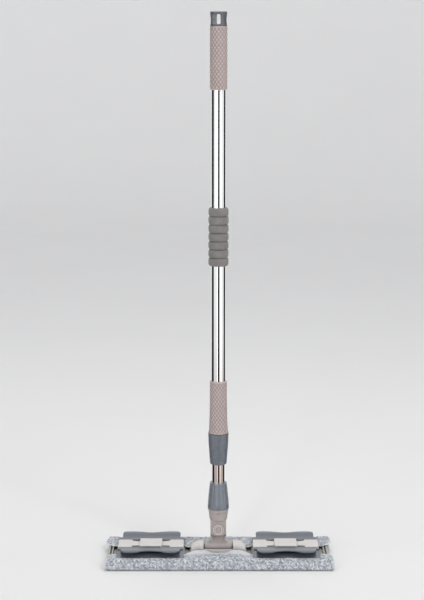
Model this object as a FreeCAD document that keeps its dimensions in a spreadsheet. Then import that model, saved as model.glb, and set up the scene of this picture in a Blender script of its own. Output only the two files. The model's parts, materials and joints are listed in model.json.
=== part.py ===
import FreeCAD, Part
import os
import re
import Sketcher
from FreeCAD import Placement, Rotation, Vector

# Flat clamp mop: wrapped plate, two spring clamps, two-axis pivot and telescopic pole.
# Millimetres. The origin lies on the floor under the middle of the plate, +X runs along the
# plate, +Y to the back and +Z up the pole. The pole stands upright with its tubes pushed in.

X_AXIS = Vector(1, 0, 0)
Y_AXIS = Vector(0, 1, 0)
Z_AXIS = Vector(0, 0, 1)
SIDES = (-1, 1)
SIDE_NAMES = {-1: "low", 1: "high"}
CLIPS = {"left": -1, "right": 1}
JAWS = {"front": 0, "rear": 180}
TOUCH = 0.01
PARALLEL_ERROR = 1e-6

SIZES = {
    # shared
    "cutter_margin": 1,
    "hole_margin": 0.5,
    # cloth, foam and plate
    "cloth_gap": 0.5,
    "foam_inset": 1,
    "cloth_length": 456,
    "cloth_width": 144,
    "cloth_thickness": 5,
    "cloth_height": 23,
    "cloth_corner": 14,
    "flap_height": 20,
    "flap_edge": 29,
    "flap_step": 59,
    "foam_thickness": 3,
    "plate_length": 447,
    "plate_width": 134,
    "plate_bottom": 8,
    "plate_top": 17,
    "plate_corner": 9,
    "pocket_depth": 5.5,
    "pocket_width": 118,
    "end_pocket_inner": 206,
    "end_pocket_outer": 214,
    "end_slot_inner": 216.5,
    "end_slot_outer": 220,
    "middle_pocket_inner": 57.5,
    "middle_pocket_outer": 68,
    # pivot bracket
    "bracket_length": 110,
    "bracket_width": 32,
    "bracket_wall_height": 7.7,
    "trough_width": 24.8,
    "trough_floor": 1.5,
    "cheek_inner": 30,
    "cheek_height": 18.5,
    "cheek_crest": 37,
    "cheek_shoulder": 47.5,
    "cheek_end_height": 9.5,
    "cheek_shoulder_height": 15,
    "cheek_rounding": 4,
    # the axis along the head
    "tilt_axis_height": 28.6,
    "rod_radius": 3,
    "rod_length": 80,
    "bearing_clearance": 0.05,
    "washer_radius": 6.5,
    "washer_thickness": 1.6,
    # yoke
    "barrel_radius": 9.5,
    "barrel_length": 56,
    "neck_width": 32,
    "neck_flare": 0.6,
    "foot_top": 44.5,
    "foot_thickness": 12,
    "flare_top": 35.6,
    "barrel_chamfer": 0.8,
    "tongue_thickness": 14,
    "tongue_radius": 15.5,
    "fork_thickness": 27,
    "rib_inner": 11.7,
    "rib_bottom": 42.5,
    "rib_top": 58,
    "fork_sweep_radius": 19,
    # the axis across the head
    "swing_axis_height": 66,
    "knuckle_pin_radius": 3,
    "pin_cap_radius": 11.3,
    "pin_cap_thickness": 2,
    "pin_cap_groove": 1,
    "cap_ring_slope": 0.4,
    "cap_rim_inner": 9.4,
    "cap_ring_outer": 7.7,
    "cap_ring_inner": 6.1,
    "cap_boss_radius": 4,
    "cap_boss_drop": 0.5,
    # connector
    "fork_slot": 15,
    "fork_slot_top": 83,
    "fork_bottom": 52.8,
    "fork_rounding": 8,
    "fork_edge": 0.8,
    "mouth_height": 85,
    "mouth_radius": 17,
    "mouth_chamfer": 0.8,
    "connector_top": 108,
    "connector_neck_top": 101,
    "connector_neck_radius": 19.5,
    "connector_rim_bottom": 104.5,
    "mark_half_length": 4.5,
    "mark_depth": 1.8,
    "mark_bottom": 100.4,
    "mark_top": 102,
    "connector_radius": 20.5,
    "spigot_radius": 15,
    "spigot_top": 136,
    "tube_seat": 93,
    # pole tubes
    "lower_tube_radius": 12.5,
    "lower_tube_wall": 0.8,
    "lower_tube_top": 690,
    "upper_tube_radius": 14,
    "upper_tube_wall": 0.6,
    "upper_tube_bottom": 232,
    "upper_tube_top": 1069,
    "bush_length": 30,
    "bush_gap": 0.1,
    # tube nut
    "nut_top": 162.5,
    "nut_radius": 21.4,
    "nut_top_radius": 16.8,
    "nut_chamfer": 0.8,
    "nut_foot_top": 113,
    "nut_waist_height": 123,
    "nut_waist_radius": 21,
    "nut_lip_bottom": 159.5,
    "nut_lip_radius": 17.5,
    "nut_shelf": 137,
    "nut_mouth_radius": 12.9,
    "thread_gap": 0.3,
    "flute_count": 12,
    "flute_radius": 3.4,
    "flute_depth": 0.7,
    "flute_tilt": 5.6,
    "flute_bottom": 116,
    # twist lock
    "collar_bottom": 201.3,
    "collar_top": 265.3,
    "collar_bottom_radius": 16.6,
    "collar_top_radius": 20.5,
    "collar_floor": 2.7,
    "collar_bend_height": 244.8,
    "collar_bend_radius": 19.9,
    "collar_rim_bottom": 263.3,
    "collar_thread_bottom": 226,
    "collar_rounding": 2.5,
    "lock_radius": 16,
    "lock_bottom": 228,
    "lock_top": 300,
    "lock_lip_radius": 13,
    "collet_radius": 15.5,
    "collet_foot_radius": 14,
    "collet_cone_top": 210.3,
    "collet_bottom": 204.3,
    "collet_top": 227.7,
    "collet_slit": 1.5,
    "collet_slit_height": 17,
    # grips
    "lower_grip_top": 372.9,
    "lower_grip_top_radius": 17.2,
    "lower_grip_waist_height": 300,
    "lower_grip_waist_radius": 17.8,
    "lower_grip_bottom_radius": 19.9,
    "lower_grip_band_radius": 19.1,
    "lower_grip_band_bottom": 269.1,
    "lower_grip_band_top": 270.1,
    "lower_grip_taper_top": 342.9,
    "grip_chamfer": 1,
    "foam_bottom": 606,
    "foam_rib_count": 7,
    "foam_rib_pitch": 16.4,
    "foam_radius": 20,
    "foam_groove_radius": 17.2,
    "foam_shoulder_radius": 19.3,
    "foam_shoulder": 2.3,
    "foam_crest": 5.7,
    "upper_grip_bottom": 949.2,
    "upper_grip_top": 1070.2,
    "upper_grip_radius": 16.9,
    "upper_grip_lip_radius": 15.9,
    "upper_grip_lip_top": 951.2,
    "upper_grip_shoulder_radius": 16.6,
    "upper_grip_shoulder_top": 954.2,
    # hang cap
    "cap_top": 1098,
    "cap_radius": 16.6,
    "cap_waist_radius": 15.4,
    "cap_waist_height": 1080,
    "cap_hollow_radius": 15.6,
    "cap_hollow_bottom": 1076,
    "cap_hollow_top": 1086,
    "cap_rim_bottom": 1094.5,
    "cap_rim_chamfer": 1.2,
    "cap_plug_bottom": 1040,
    "hang_hole_width": 16,
    "hang_hole_height": 19,
    "hang_hole_middle": 1083.6,
    "hang_hole_turn": -18,
    "hang_hole_rounding": 2.6,
    # clip housings
    "clip_place": 137,
    "beam_length": 133,
    "beam_width": 44.6,
    "tab_inner": 38.7,
    "tab_thickness": 2.4,
    "beam_top": 33,
    "centre_tab_length": 45.2,
    "centre_tab_top": 35.3,
    "end_tab_corner": 1.5,
    "centre_tab_corner": 1.2,
    "rim_rounding": 0.6,
    "web_outer_half": 15.2,
    "web_inner_half": 11.6,
    "web_bend": 29,
    "spine_length": 124,
    "spine_width": 18,
    "spine_wall": 2,
    "end_plate_thickness": 2,
    "lug_thickness": 3.8,
    "lug_reach": 7.3,
    "lug_bottom": 27.8,
    "screw_boss_place": 50,
    "screw_boss_radius": 4,
    # jaws
    "jaw_pin_place": 18.7,
    "jaw_pin_height": 31,
    "jaw_pin_radius": 1,
    "jaw_pin_length": 86,
    "knuckle_radius": 3,
    "knuckle_inner": 24,
    "knuckle_length": 13.5,
    "jaw_inner": 23.6,
    "jaw_length": 136,
    "jaw_end_slant": 2.8,
    "jaw_top": 33,
    "jaw_root_depth": 4,
    "arm_overlap": 2,
    "arm_bottom": 28.6,
    "arm_top": 32.5,
    "relief_depth": 1.4,
    "relief_gap": 0.8,
    "shoulder_reach": 36,
    "shoulder_bottom": 30.2,
    "inner_bend_reach": 32,
    "inner_bend_height": 28.6,
    "wing_length": 118.6,
    "wing_reach": 63,
    "wing_top": 37,
    "wing_tip": 36.2,
    "wing_bend_reach": 40,
    "wing_bend_height": 34.2,
    "wing_shoulder_reach": 49,
    "wing_shoulder_height": 36.6,
    "wing_crest_reach": 57,
    "wing_start": 32,
    "wing_thickness": 2.2,
    "wing_corner": 13,
    "wing_dip_radius": 62,
    "wing_dip_depth": 8.5,
    "wing_wave_radius": 34,
    "tooth_reach": 56.5,
    "tooth_height": 20.3,
    "tooth_pitch": 4,
    "tooth_depth": 1.3,
    "notch_length": 14,
    "leg_thickness": 2.4,
    "spring_wire_radius": 0.35,
    "spring_pitch": 0.77,
    "spring_coil_radius": 1.4,
    "spring_turns": 6,
    "spring_place": 12,
    # screws from below
    "screw_radius": 1.75,
    "screw_head_radius": 3.5,
    "screw_head_height": 2,
    "bracket_screw_top": 27,
    "bracket_screw_x": 44,
    "bracket_screw_y": 9,
    "clip_screw_top": 27,
}

doc = FreeCAD.newDocument("FlatMop")
sheet = doc.addObject("Spreadsheet::Sheet", "Sizes")
nodes = []


def fill_sheet():
    """Write every driving size into the spreadsheet under its own alias."""
    for row, (alias, value) in enumerate(SIZES.items(), start=1):
        sheet.set(f"A{row}", alias)
        sheet.set(f"B{row}", str(value))
        sheet.setAlias(f"B{row}", alias)
    doc.recompute()


def linked(expression):
    """Spell an expression in plain aliases as one that reads the spreadsheet."""
    return re.sub(r"\b([a-z]+(?:_[a-z]+)+)\b", r"Sizes.\1", str(expression))


def value(expression):
    """Number that an expression has now."""
    return float(sheet.evalExpression(linked(expression)))


def bind(thing, **expressions):
    """Bind properties of an object to the spreadsheet; a double underscore stands for a dot."""
    for name, expression in expressions.items():
        thing.setExpression(name.replace("__", "."), linked(expression))


def place(thing, x=0, y=0, z=0):
    """Bind an object's place to the spreadsheet."""
    bind(thing, Placement__Base__x=x, Placement__Base__y=y, Placement__Base__z=z)
    return thing


def keep(thing, label):
    """Name a finished piece and list it for export."""
    thing.Label = label
    nodes.append(thing)
    return thing


# ---------------------------------------------------------------- sketches and bodies

def new_body(name):
    return doc.addObject("PartDesign::Body", name)


def origin_plane(body, role):
    return next(plane for plane in body.Origin.OriginFeatures if plane.Role == role)


def new_sketch(body, role, offset=0):
    """Sketch on one of the body's own origin planes, moved along the plane's normal."""
    sketch = body.newObject("Sketcher::SketchObject", body.Name + "_sketch")
    sketch.AttachmentSupport = (origin_plane(body, role), [""])
    sketch.MapMode = "FlatFace"
    if offset:
        bind(sketch, AttachmentOffset__Base__z=offset)
    return sketch


def draw_outline(sketch, corners):
    """Closed outline of straight lines; each corner is a pair of expressions."""
    first = sketch.GeometryCount
    points = [Vector(value(x), value(y), 0) for x, y in corners]
    count = len(points)
    for index, point in enumerate(points):
        sketch.addGeometry(Part.LineSegment(point, points[(index + 1) % count]), False)
    for index in range(count):
        following = first + (index + 1) % count
        sketch.addConstraint(Sketcher.Constraint("Coincident", first + index, 2, following, 1))
    for index, corner in enumerate(corners):
        for kind, expression in zip(("DistanceX", "DistanceY"), corner):
            rule = Sketcher.Constraint(kind, -1, 1, first + index, 1, value(expression))
            number = sketch.addConstraint(rule)
            sketch.setExpression(f"Constraints[{number}]", linked(expression))


def draw_circle(sketch, x, y, radius):
    """Circle whose centre and radius are expressions."""
    number = sketch.GeometryCount
    circle = Part.Circle(Vector(value(x), value(y), 0), Z_AXIS, value(radius))
    sketch.addGeometry(circle, False)
    rules = (
        (Sketcher.Constraint("DistanceX", -1, 1, number, 3, value(x)), x),
        (Sketcher.Constraint("DistanceY", -1, 1, number, 3, value(y)), y),
        (Sketcher.Constraint("Radius", number, value(radius)), radius),
    )
    for rule, expression in rules:
        index = sketch.addConstraint(rule)
        sketch.setExpression(f"Constraints[{index}]", linked(expression))


def rectangle(left, bottom, right, top):
    """Corners of an upright rectangle."""
    return [(left, bottom), (right, bottom), (right, top), (left, top)]


def mirrored(corners):
    """Close a half outline, drawn from the axis to the axis, with its mirror image."""
    other = [(f"-({x})", y) for x, y in reversed(corners) if str(x) != "0"]
    return list(corners) + other


def pad(body, sketch, length, symmetric=False):
    feature = body.newObject("PartDesign::Pad", body.Name + "_pad")
    feature.Profile = sketch
    if symmetric:
        feature.SideType = "Symmetric"
    bind(feature, Length=length)
    doc.recompute()


def pocket(body, sketch, depth):
    """Cut a sketch into the body, and stop if the cut took nothing away."""
    before = body.Shape.Volume
    feature = body.newObject("PartDesign::Pocket", body.Name + "_pocket")
    feature.Profile = sketch
    feature.Reversed = True
    bind(feature, Length=depth)
    doc.recompute()
    if body.Shape.Volume >= before:
        raise RuntimeError(f"{feature.Label} cuts nothing")
    return feature


def turn(body, sketch, axis):
    """Revolve a sketch all the way round one of its own axes."""
    feature = body.newObject("PartDesign::Revolution", body.Name + "_turned")
    feature.Profile = sketch
    feature.ReferenceAxis = (sketch, [axis])
    feature.Angle = 360
    doc.recompute()


def turned_body(name, corners):
    """Body of revolution about the pole's axis; each corner is a radius and a height."""
    body = new_body(name)
    sketch = new_sketch(body, "XZ_Plane")
    draw_outline(sketch, corners)
    turn(body, sketch, "V_Axis")
    return body


def soften(body, radius, wanted):
    """Fillet the edges of a body that a test picks."""
    shape = body.Shape
    names = [f"Edge{number}" for number, edge in enumerate(shape.Edges, 1) if wanted(edge)]
    if not names:
        raise RuntimeError(f"{body.Label} has no such edge to round")
    base = body.Tip
    feature = body.newObject("PartDesign::Fillet", body.Name + "_rounding")
    feature.Base = (base, names)
    bind(feature, Radius=radius)
    doc.recompute()


def runs_along(edge, axis):
    """Whether an edge is a straight line parallel to an axis."""
    if not isinstance(edge.Curve, Part.Line):
        return False
    return abs(abs(edge.Curve.Direction.dot(axis)) - 1) < PARALLEL_ERROR


def middle(edge):
    return edge.CenterOfMass


# ---------------------------------------------------------------- primitives and booleans

def box(name, left, right, front, back, bottom, top):
    """Block between six planes."""
    block = doc.addObject("Part::Box", name)
    bind(
        block,
        Length=f"({right}) - ({left})",
        Width=f"({back}) - ({front})",
        Height=f"({top}) - ({bottom})",
    )
    return place(block, left, front, bottom)


def rod(name, axis, radius, start, end, x=0, y=0, z=0):
    """Cylinder along an axis between two places on it, moved sideways by x, y and z."""
    cylinder = doc.addObject("Part::Cylinder", name)
    cylinder.Placement = Placement(Vector(), Rotation(Z_AXIS, axis))
    bind(cylinder, Radius=radius, Height=f"({end}) - ({start})")
    offsets = [x, y, z]
    along = [axis.x, axis.y, axis.z].index(1)
    offsets[along] = start
    return place(cylinder, *offsets)


def fuse(name, shapes):
    joined = doc.addObject("Part::MultiFuse", name)
    joined.Shapes = shapes
    joined.Refine = True
    doc.recompute()
    return joined


def group(name, shapes):
    """Identical separate solids that share one node."""
    compound = doc.addObject("Part::Compound", name)
    compound.Links = shapes
    doc.recompute()
    return compound


def cut(name, base, *tools):
    """Take one or more tools out of a base."""
    tool = tools[0] if len(tools) == 1 else fuse(name + "_tools", list(tools))
    result = doc.addObject("Part::Cut", name)
    result.Base = base
    result.Tool = tool
    result.Refine = True
    doc.recompute()
    return result


# ---------------------------------------------------------------- head

def make_mop_cloth():
    """Cloth under the plate, up its long sides and folded over its top as two flaps."""
    body = new_body("cloth_section")
    sketch = new_sketch(body, "YZ_Plane")
    side = "plate_width / 2 + cloth_gap"
    half = [
        ("0", "0"),
        ("cloth_width / 2", "0"),
        ("cloth_width / 2", "cloth_height"),
        ("flap_step", "cloth_height"),
        ("flap_step", "flap_height"),
        ("flap_edge", "flap_height"),
        ("flap_edge", "plate_top"),
        (side, "plate_top"),
        (side, "cloth_thickness"),
        ("0", "cloth_thickness"),
    ]
    draw_outline(sketch, mirrored(half))
    pad(body, sketch, "cloth_length", symmetric=True)
    corners = new_body("cloth_corners")
    plan = new_sketch(corners, "XY_Plane")
    draw_outline(plan, rectangle("-cloth_length / 2", "-cloth_width / 2",
                                 "cloth_length / 2", "cloth_width / 2"))
    pad(corners, plan, "cloth_height")
    soften(corners, "cloth_corner", lambda edge: runs_along(edge, Z_AXIS))
    cloth = doc.addObject("Part::Common", "cloth_rounded")
    cloth.Base = body
    cloth.Tool = corners
    keep(cloth, "mop_cloth")


def make_foam_pad():
    """Foam sheet between the plate and the cloth."""
    body = new_body("foam_pad")
    sketch = new_sketch(body, "XY_Plane")
    draw_outline(sketch, rectangle(
        "-plate_length / 2 + foam_inset", "-plate_width / 2 + foam_inset",
        "plate_length / 2 - foam_inset", "plate_width / 2 - foam_inset"))
    pad(body, sketch, "foam_thickness")
    soften(body, "plate_corner", lambda edge: runs_along(edge, Z_AXIS))
    place(body, z="cloth_thickness")
    keep(body, "foam_pad")


def screw_places():
    """Screw centres in the plate: four for the bracket, two for each clip."""
    bracket = [(f"{side} * bracket_screw_x", f"{row} * bracket_screw_y")
               for side in SIDES for row in SIDES]
    clips = [(f"{clip} * clip_place + {side} * screw_boss_place", "0")
             for clip in SIDES for side in SIDES]
    return bracket, clips


def make_base_plate():
    """Moulded plate with pockets between its ribs and countersunk screw holes from below."""
    body = new_body("base_plate")
    sketch = new_sketch(body, "XY_Plane")
    draw_outline(sketch, rectangle("-plate_length / 2", "-plate_width / 2",
                                   "plate_length / 2", "plate_width / 2"))
    pad(body, sketch, "plate_top - plate_bottom")
    soften(body, "plate_corner", lambda edge: runs_along(edge, Z_AXIS))
    wells = new_sketch(body, "XY_Plane", "plate_top - plate_bottom - pocket_depth")
    spans = (
        ("end_pocket_inner", "end_pocket_outer"),
        ("end_slot_inner", "end_slot_outer"),
        ("middle_pocket_inner", "middle_pocket_outer"),
    )
    for side in SIDES:
        for inner, outer in spans:
            low, high = sorted((f"{side} * {inner}", f"{side} * {outer}"), key=value)
            draw_outline(wells, rectangle(low, "-pocket_width / 2", high, "pocket_width / 2"))
    pocket(body, wells, "pocket_depth")
    bracket, clips = screw_places()
    for radius, depth in (
        ("screw_radius + bearing_clearance", "plate_top - plate_bottom"),
        ("screw_head_radius + bearing_clearance", "screw_head_height"),
    ):
        holes = new_sketch(body, "XY_Plane")
        for x, y in bracket + clips:
            draw_circle(holes, x, y, radius)
        pocket(body, holes, depth)
    place(body, z="plate_bottom")
    keep(body, "base_plate")


def make_screws(name, places, top):
    """Countersunk screws from the plate's underside up to a height."""
    screws = []
    for number, (x, y) in enumerate(places, 1):
        head = rod(f"{name}_head_{number}", Z_AXIS, "screw_head_radius", "plate_bottom",
                   "plate_bottom + screw_head_height", x, y)
        shank = rod(f"{name}_shank_{number}", Z_AXIS, "screw_radius", "plate_bottom", top, x, y)
        screws.append(fuse(f"{name}_{number}", [head, shank]))
    keep(group(name + "_group", screws), name)


def make_pivot_bracket():
    """Saddle on the plate: a low trough between two tall rounded cheeks."""
    body = new_body("pivot_bracket_body")
    sketch = new_sketch(body, "XZ_Plane")
    half = [
        ("0", "0"),
        ("bracket_length / 2", "0"),
        ("bracket_length / 2", "cheek_end_height"),
        ("cheek_shoulder", "cheek_shoulder_height"),
        ("cheek_crest", "cheek_height"),
        ("cheek_inner", "cheek_height"),
        ("cheek_inner", "bracket_wall_height"),
        ("0", "bracket_wall_height"),
    ]
    draw_outline(sketch, mirrored(half))
    pad(body, sketch, "bracket_width", symmetric=True)
    trough = new_sketch(body, "XY_Plane", "trough_floor")
    draw_outline(trough, rectangle("-cheek_inner", "-trough_width / 2",
                                   "cheek_inner", "trough_width / 2"))
    pocket(body, trough, "cheek_height")
    face = value("bracket_width / 2")
    inner = value("cheek_inner")
    wall_top = value("bracket_wall_height")

    def outer_rim(edge):
        spot = middle(edge)
        on_face = abs(abs(spot.y) - face) < TOUCH
        return on_face and abs(spot.x) > inner + TOUCH and spot.z > wall_top + TOUCH

    soften(body, "cheek_rounding", outer_rim)
    place(body, z="plate_top")
    holes = [rod("bracket_rod_hole", X_AXIS, "rod_radius + bearing_clearance",
                 "-rod_length / 2 - hole_margin", "rod_length / 2 + hole_margin",
                 z="tilt_axis_height")]
    for number, (x, y) in enumerate(screw_places()[0], 1):
        holes.append(rod(f"bracket_screw_hole_{number}", Z_AXIS,
                         "screw_radius + bearing_clearance", "plate_top",
                         "bracket_screw_top + hole_margin", x, y))
    keep(cut("pivot_bracket_cut", body, *holes), "pivot_bracket")


def make_hinge_rod():
    keep(rod("hinge_rod", X_AXIS, "rod_radius", "-rod_length / 2", "rod_length / 2",
             z="tilt_axis_height"), "hinge_rod")


def make_thrust_washers():
    """A nylon washer on the rod at each end of the barrel."""
    washers = []
    for side, name in zip(SIDES, ("left", "right")):
        gap_middle = f"{side} * (barrel_length / 2 + cheek_inner) / 2"
        start = f"{gap_middle} - washer_thickness / 2"
        end = f"{gap_middle} + washer_thickness / 2"
        disc = rod(f"{name}_washer_disc", X_AXIS, "washer_radius", start, end,
                   z="tilt_axis_height")
        hole = rod(f"{name}_washer_hole", X_AXIS, "rod_radius + bearing_clearance",
                   f"{start} - cutter_margin", f"{end} + cutter_margin",
                   z="tilt_axis_height")
        washers.append(cut(f"{name}_washer", disc, hole))
    keep(group("thrust_washers_group", washers), "thrust_washers")


# ---------------------------------------------------------------- pivot

def make_yoke():
    """Barrel on the long axis and a tongue with side ribs that carries the cross axis."""
    barrel = make_yoke_barrel()
    neck = box("yoke_neck", "-neck_width / 2", "neck_width / 2", "-tongue_thickness / 2",
               "tongue_thickness / 2", "tilt_axis_height", "swing_axis_height")
    eye = rod("yoke_eye", Y_AXIS, "tongue_radius", "-tongue_thickness / 2",
              "tongue_thickness / 2", z="swing_axis_height")
    ribs = box("yoke_ribs", "-neck_width / 2", "neck_width / 2", "-fork_thickness / 2",
               "fork_thickness / 2", "rib_bottom", "rib_top")
    front = "-fork_thickness / 2 - cutter_margin"
    back = "fork_thickness / 2 + cutter_margin"
    panel = box("yoke_panel", "-rib_inner", "rib_inner", front, back,
                "rib_bottom - cutter_margin", "rib_top + cutter_margin")
    sweep = rod("yoke_fork_sweep", Y_AXIS, "fork_sweep_radius", front, back,
                z="swing_axis_height")
    side_ribs = cut("yoke_side_ribs", ribs, panel, sweep)
    foot = make_yoke_foot()
    blank = fuse("yoke_blank", [barrel, neck, eye, side_ribs, foot])
    rod_hole = rod("yoke_rod_hole", X_AXIS, "rod_radius + bearing_clearance",
                   "-barrel_length / 2 - cutter_margin", "barrel_length / 2 + cutter_margin",
                   z="tilt_axis_height")
    pin_hole = rod("yoke_pin_hole", Y_AXIS, "knuckle_pin_radius + bearing_clearance",
                   "-fork_thickness / 2", "fork_thickness / 2", z="swing_axis_height")
    keep(cut("yoke_cut", blank, rod_hole, pin_hole), "yoke")


def make_yoke_barrel():
    """Barrel along the head with chamfered ends."""
    barrel = new_body("yoke_barrel")
    sketch = new_sketch(barrel, "XZ_Plane")
    draw_outline(sketch, mirrored([
        ("0", "0"),
        ("barrel_length / 2", "0"),
        ("barrel_length / 2", "barrel_radius - barrel_chamfer"),
        ("barrel_length / 2 - barrel_chamfer", "barrel_radius"),
        ("0", "barrel_radius"),
    ]))
    turn(barrel, sketch, "H_Axis")
    return place(barrel, z="tilt_axis_height")


def make_yoke_foot():
    """Flared web that widens the neck towards the barrel."""
    body = new_body("yoke_foot")
    sketch = new_sketch(body, "XZ_Plane")
    draw_outline(sketch, mirrored([
        ("0", "tilt_axis_height"),
        ("neck_width / 2 + neck_flare", "tilt_axis_height"),
        ("neck_width / 2 + neck_flare", "flare_top"),
        ("neck_width / 2", "foot_top"),
        ("0", "foot_top"),
    ]))
    pad(body, sketch, "foot_thickness", symmetric=True)
    return body


def make_knuckle_pin():
    keep(rod("knuckle_pin", Y_AXIS, "knuckle_pin_radius", "-fork_thickness / 2",
             "fork_thickness / 2", z="swing_axis_height"), "knuckle_pin")


def make_pin_cap(name, side):
    """Round cap over one end of the knuckle pin, with two raised rings and a lower centre boss."""
    face = f"{side} * fork_thickness / 2"
    low = f"{face} + {side} * (pin_cap_thickness - pin_cap_groove)"
    high = f"{face} + {side} * pin_cap_thickness"
    boss = f"{face} + {side} * (pin_cap_thickness - cap_boss_drop)"
    body = new_body(name)
    sketch = new_sketch(body, "XY_Plane")
    draw_outline(sketch, [
        ("0", face),
        ("pin_cap_radius", face),
        ("pin_cap_radius", low),
        ("pin_cap_radius - cap_ring_slope", high),
        ("cap_rim_inner", high),
        ("cap_rim_inner - cap_ring_slope", low),
        ("cap_ring_outer + cap_ring_slope", low),
        ("cap_ring_outer", high),
        ("cap_ring_inner", high),
        ("cap_ring_inner - cap_ring_slope", low),
        ("cap_boss_radius + cap_ring_slope", low),
        ("cap_boss_radius", boss),
        ("0", boss),
    ])
    turn(body, sketch, "V_Axis")
    place(body, z="swing_axis_height")
    keep(body, name)


def make_connector():
    """Fork over the knuckle pin, below a round socket that holds the lower tube."""
    bore = "lower_tube_radius + bearing_clearance"
    socket = turned_body("connector_socket", [
        ("0", "mouth_height"),
        ("mouth_radius", "mouth_height"),
        ("mouth_radius + mouth_chamfer", "mouth_height + mouth_chamfer"),
        ("connector_neck_radius", "connector_neck_top"),
        ("connector_radius", "connector_rim_bottom"),
        ("connector_radius", "connector_top"),
        ("spigot_radius", "connector_top"),
        ("spigot_radius", "spigot_top"),
        (bore, "spigot_top"),
        (bore, "tube_seat"),
        ("0", "tube_seat"),
    ])
    fork = new_body("connector_fork")
    sketch = new_sketch(fork, "XZ_Plane")
    draw_outline(sketch, rectangle("-neck_width / 2", "fork_bottom",
                                   "neck_width / 2", "mouth_height + cutter_margin"))
    pad(fork, sketch, "fork_thickness", symmetric=True)
    low = value("fork_bottom") + TOUCH
    soften(fork, "fork_rounding", lambda edge: runs_along(edge, Y_AXIS) and middle(edge).z < low)
    face = value("fork_thickness / 2") - TOUCH
    high = value("mouth_height")
    soften(fork, "fork_edge", lambda edge: abs(middle(edge).y) > face and middle(edge).z < high)
    blank = fuse("connector_blank", [socket, fork])
    slot = box("connector_slot", "-neck_width", "neck_width", "-fork_slot / 2",
               "fork_slot / 2", "fork_bottom - cutter_margin", "fork_slot_top")
    pin_hole = rod("connector_pin_hole", Y_AXIS, "knuckle_pin_radius + bearing_clearance",
                   "-fork_thickness / 2 - cutter_margin", "fork_thickness / 2 + cutter_margin",
                   z="swing_axis_height")
    mark = box("connector_mark", "-mark_half_length", "mark_half_length",
               "-connector_radius - cutter_margin", "-connector_radius + mark_depth",
               "mark_bottom", "mark_top")
    keep(cut("connector_cut", blank, slot, pin_hole, mark), "connector")


# ---------------------------------------------------------------- pole

def make_tube(name, radius, wall, bottom, top):
    body = turned_body(name, [
        (f"{radius} - {wall}", bottom), (radius, bottom),
        (radius, top), (f"{radius} - {wall}", top),
    ])
    keep(body, name)


def make_tube_nut():
    """Fluted clamp nut on the connector's spigot; it narrows towards the tube."""
    bore = "spigot_radius + thread_gap"
    body = turned_body("tube_nut_body", [
        (bore, "connector_top"),
        ("nut_radius - nut_chamfer", "connector_top"),
        ("nut_radius", "connector_top + nut_chamfer"),
        ("nut_radius", "nut_foot_top"),
        ("nut_waist_radius", "nut_waist_height"),
        ("nut_lip_radius", "nut_lip_bottom"),
        ("nut_top_radius", "nut_top"),
        ("nut_mouth_radius", "nut_top"),
        ("nut_mouth_radius", "nut_shelf"),
        (bore, "nut_shelf"),
    ])
    flutes = []
    count = int(value("flute_count"))
    for number in range(count):
        turn = Rotation(Z_AXIS, 360 * number / count)
        flute = doc.addObject("Part::Cylinder", f"nut_flute_{number + 1}")
        bind(flute, Radius="flute_radius", Height="nut_top - connector_top")
        reach = value("nut_radius + flute_radius - flute_depth")
        lean = Rotation(Y_AXIS, -value("flute_tilt"))
        spot = turn.multVec(Vector(reach, 0, value("flute_bottom")))
        flute.Placement = Placement(spot, turn.multiply(lean))
        flutes.append(flute)
    keep(cut("tube_nut_cut", body, *flutes), "tube_nut")


def make_guide_bush():
    """Nylon ring on the hidden end of the lower tube that runs inside the upper tube."""
    outer = "upper_tube_radius - upper_tube_wall - bush_gap"
    bottom = "lower_tube_top - bush_length"
    keep(turned_body("guide_bush", [
        ("lower_tube_radius", bottom),
        (outer, bottom),
        (outer, "lower_tube_top"),
        ("lower_tube_radius", "lower_tube_top"),
    ]), "guide_bush")


def make_collet():
    """Split nylon ring that the collar squeezes on the lower tube."""
    body = turned_body("collet_body", [
        ("lower_tube_radius + bearing_clearance", "collet_bottom"),
        ("collet_foot_radius", "collet_bottom"),
        ("collet_radius", "collet_cone_top"),
        ("collet_radius", "collet_top"),
        ("lower_tube_radius + bearing_clearance", "collet_top"),
    ])
    top = "collet_bottom + collet_slit_height"
    foot = "collet_bottom - cutter_margin"
    reach = "(collet_radius + cutter_margin)"
    slits = [
        box("collet_slit_x", f"-{reach}", reach, "-collet_slit / 2", "collet_slit / 2",
            foot, top),
        box("collet_slit_y", "-collet_slit / 2", "collet_slit / 2", f"-{reach}", reach,
            foot, top),
    ]
    keep(cut("collet_cut", body, *slits), "collet")


def make_twist_collar():
    """Collar of the twist lock: wide at the top, narrow and rounded at the bottom."""
    thread = "lock_radius + thread_gap"
    body = turned_body("twist_collar", [
        ("nut_mouth_radius", "collar_bottom"),
        ("collar_bottom_radius", "collar_bottom"),
        ("collar_bend_radius", "collar_bend_height"),
        ("collar_top_radius", "collar_rim_bottom"),
        ("collar_top_radius", "collar_top"),
        (thread, "collar_top"),
        (thread, "collar_thread_bottom"),
        ("collet_radius + thread_gap", "collar_thread_bottom"),
        ("collet_radius + thread_gap", "collar_bottom + collar_floor"),
        ("nut_mouth_radius", "collar_bottom + collar_floor"),
    ])
    outer = value("collar_bottom_radius")
    low = value("collar_bottom")

    def foot_rim(edge):
        wide = abs(edge.BoundBox.XLength / 2 - outer) < TOUCH
        return wide and abs(middle(edge).z - low) < TOUCH

    soften(body, "collar_rounding", foot_rim)
    keep(body, "twist_collar")


def make_lock_body():
    """Threaded body of the twist lock, fixed on the foot of the upper tube."""
    tube = "upper_tube_radius + bearing_clearance"
    keep(turned_body("lock_body", [
        ("lock_lip_radius", "lock_bottom"),
        ("lock_radius", "lock_bottom"),
        ("lock_radius", "lock_top"),
        (tube, "lock_top"),
        (tube, "upper_tube_bottom"),
        ("lock_lip_radius", "upper_tube_bottom"),
    ]), "lock_body")


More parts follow.
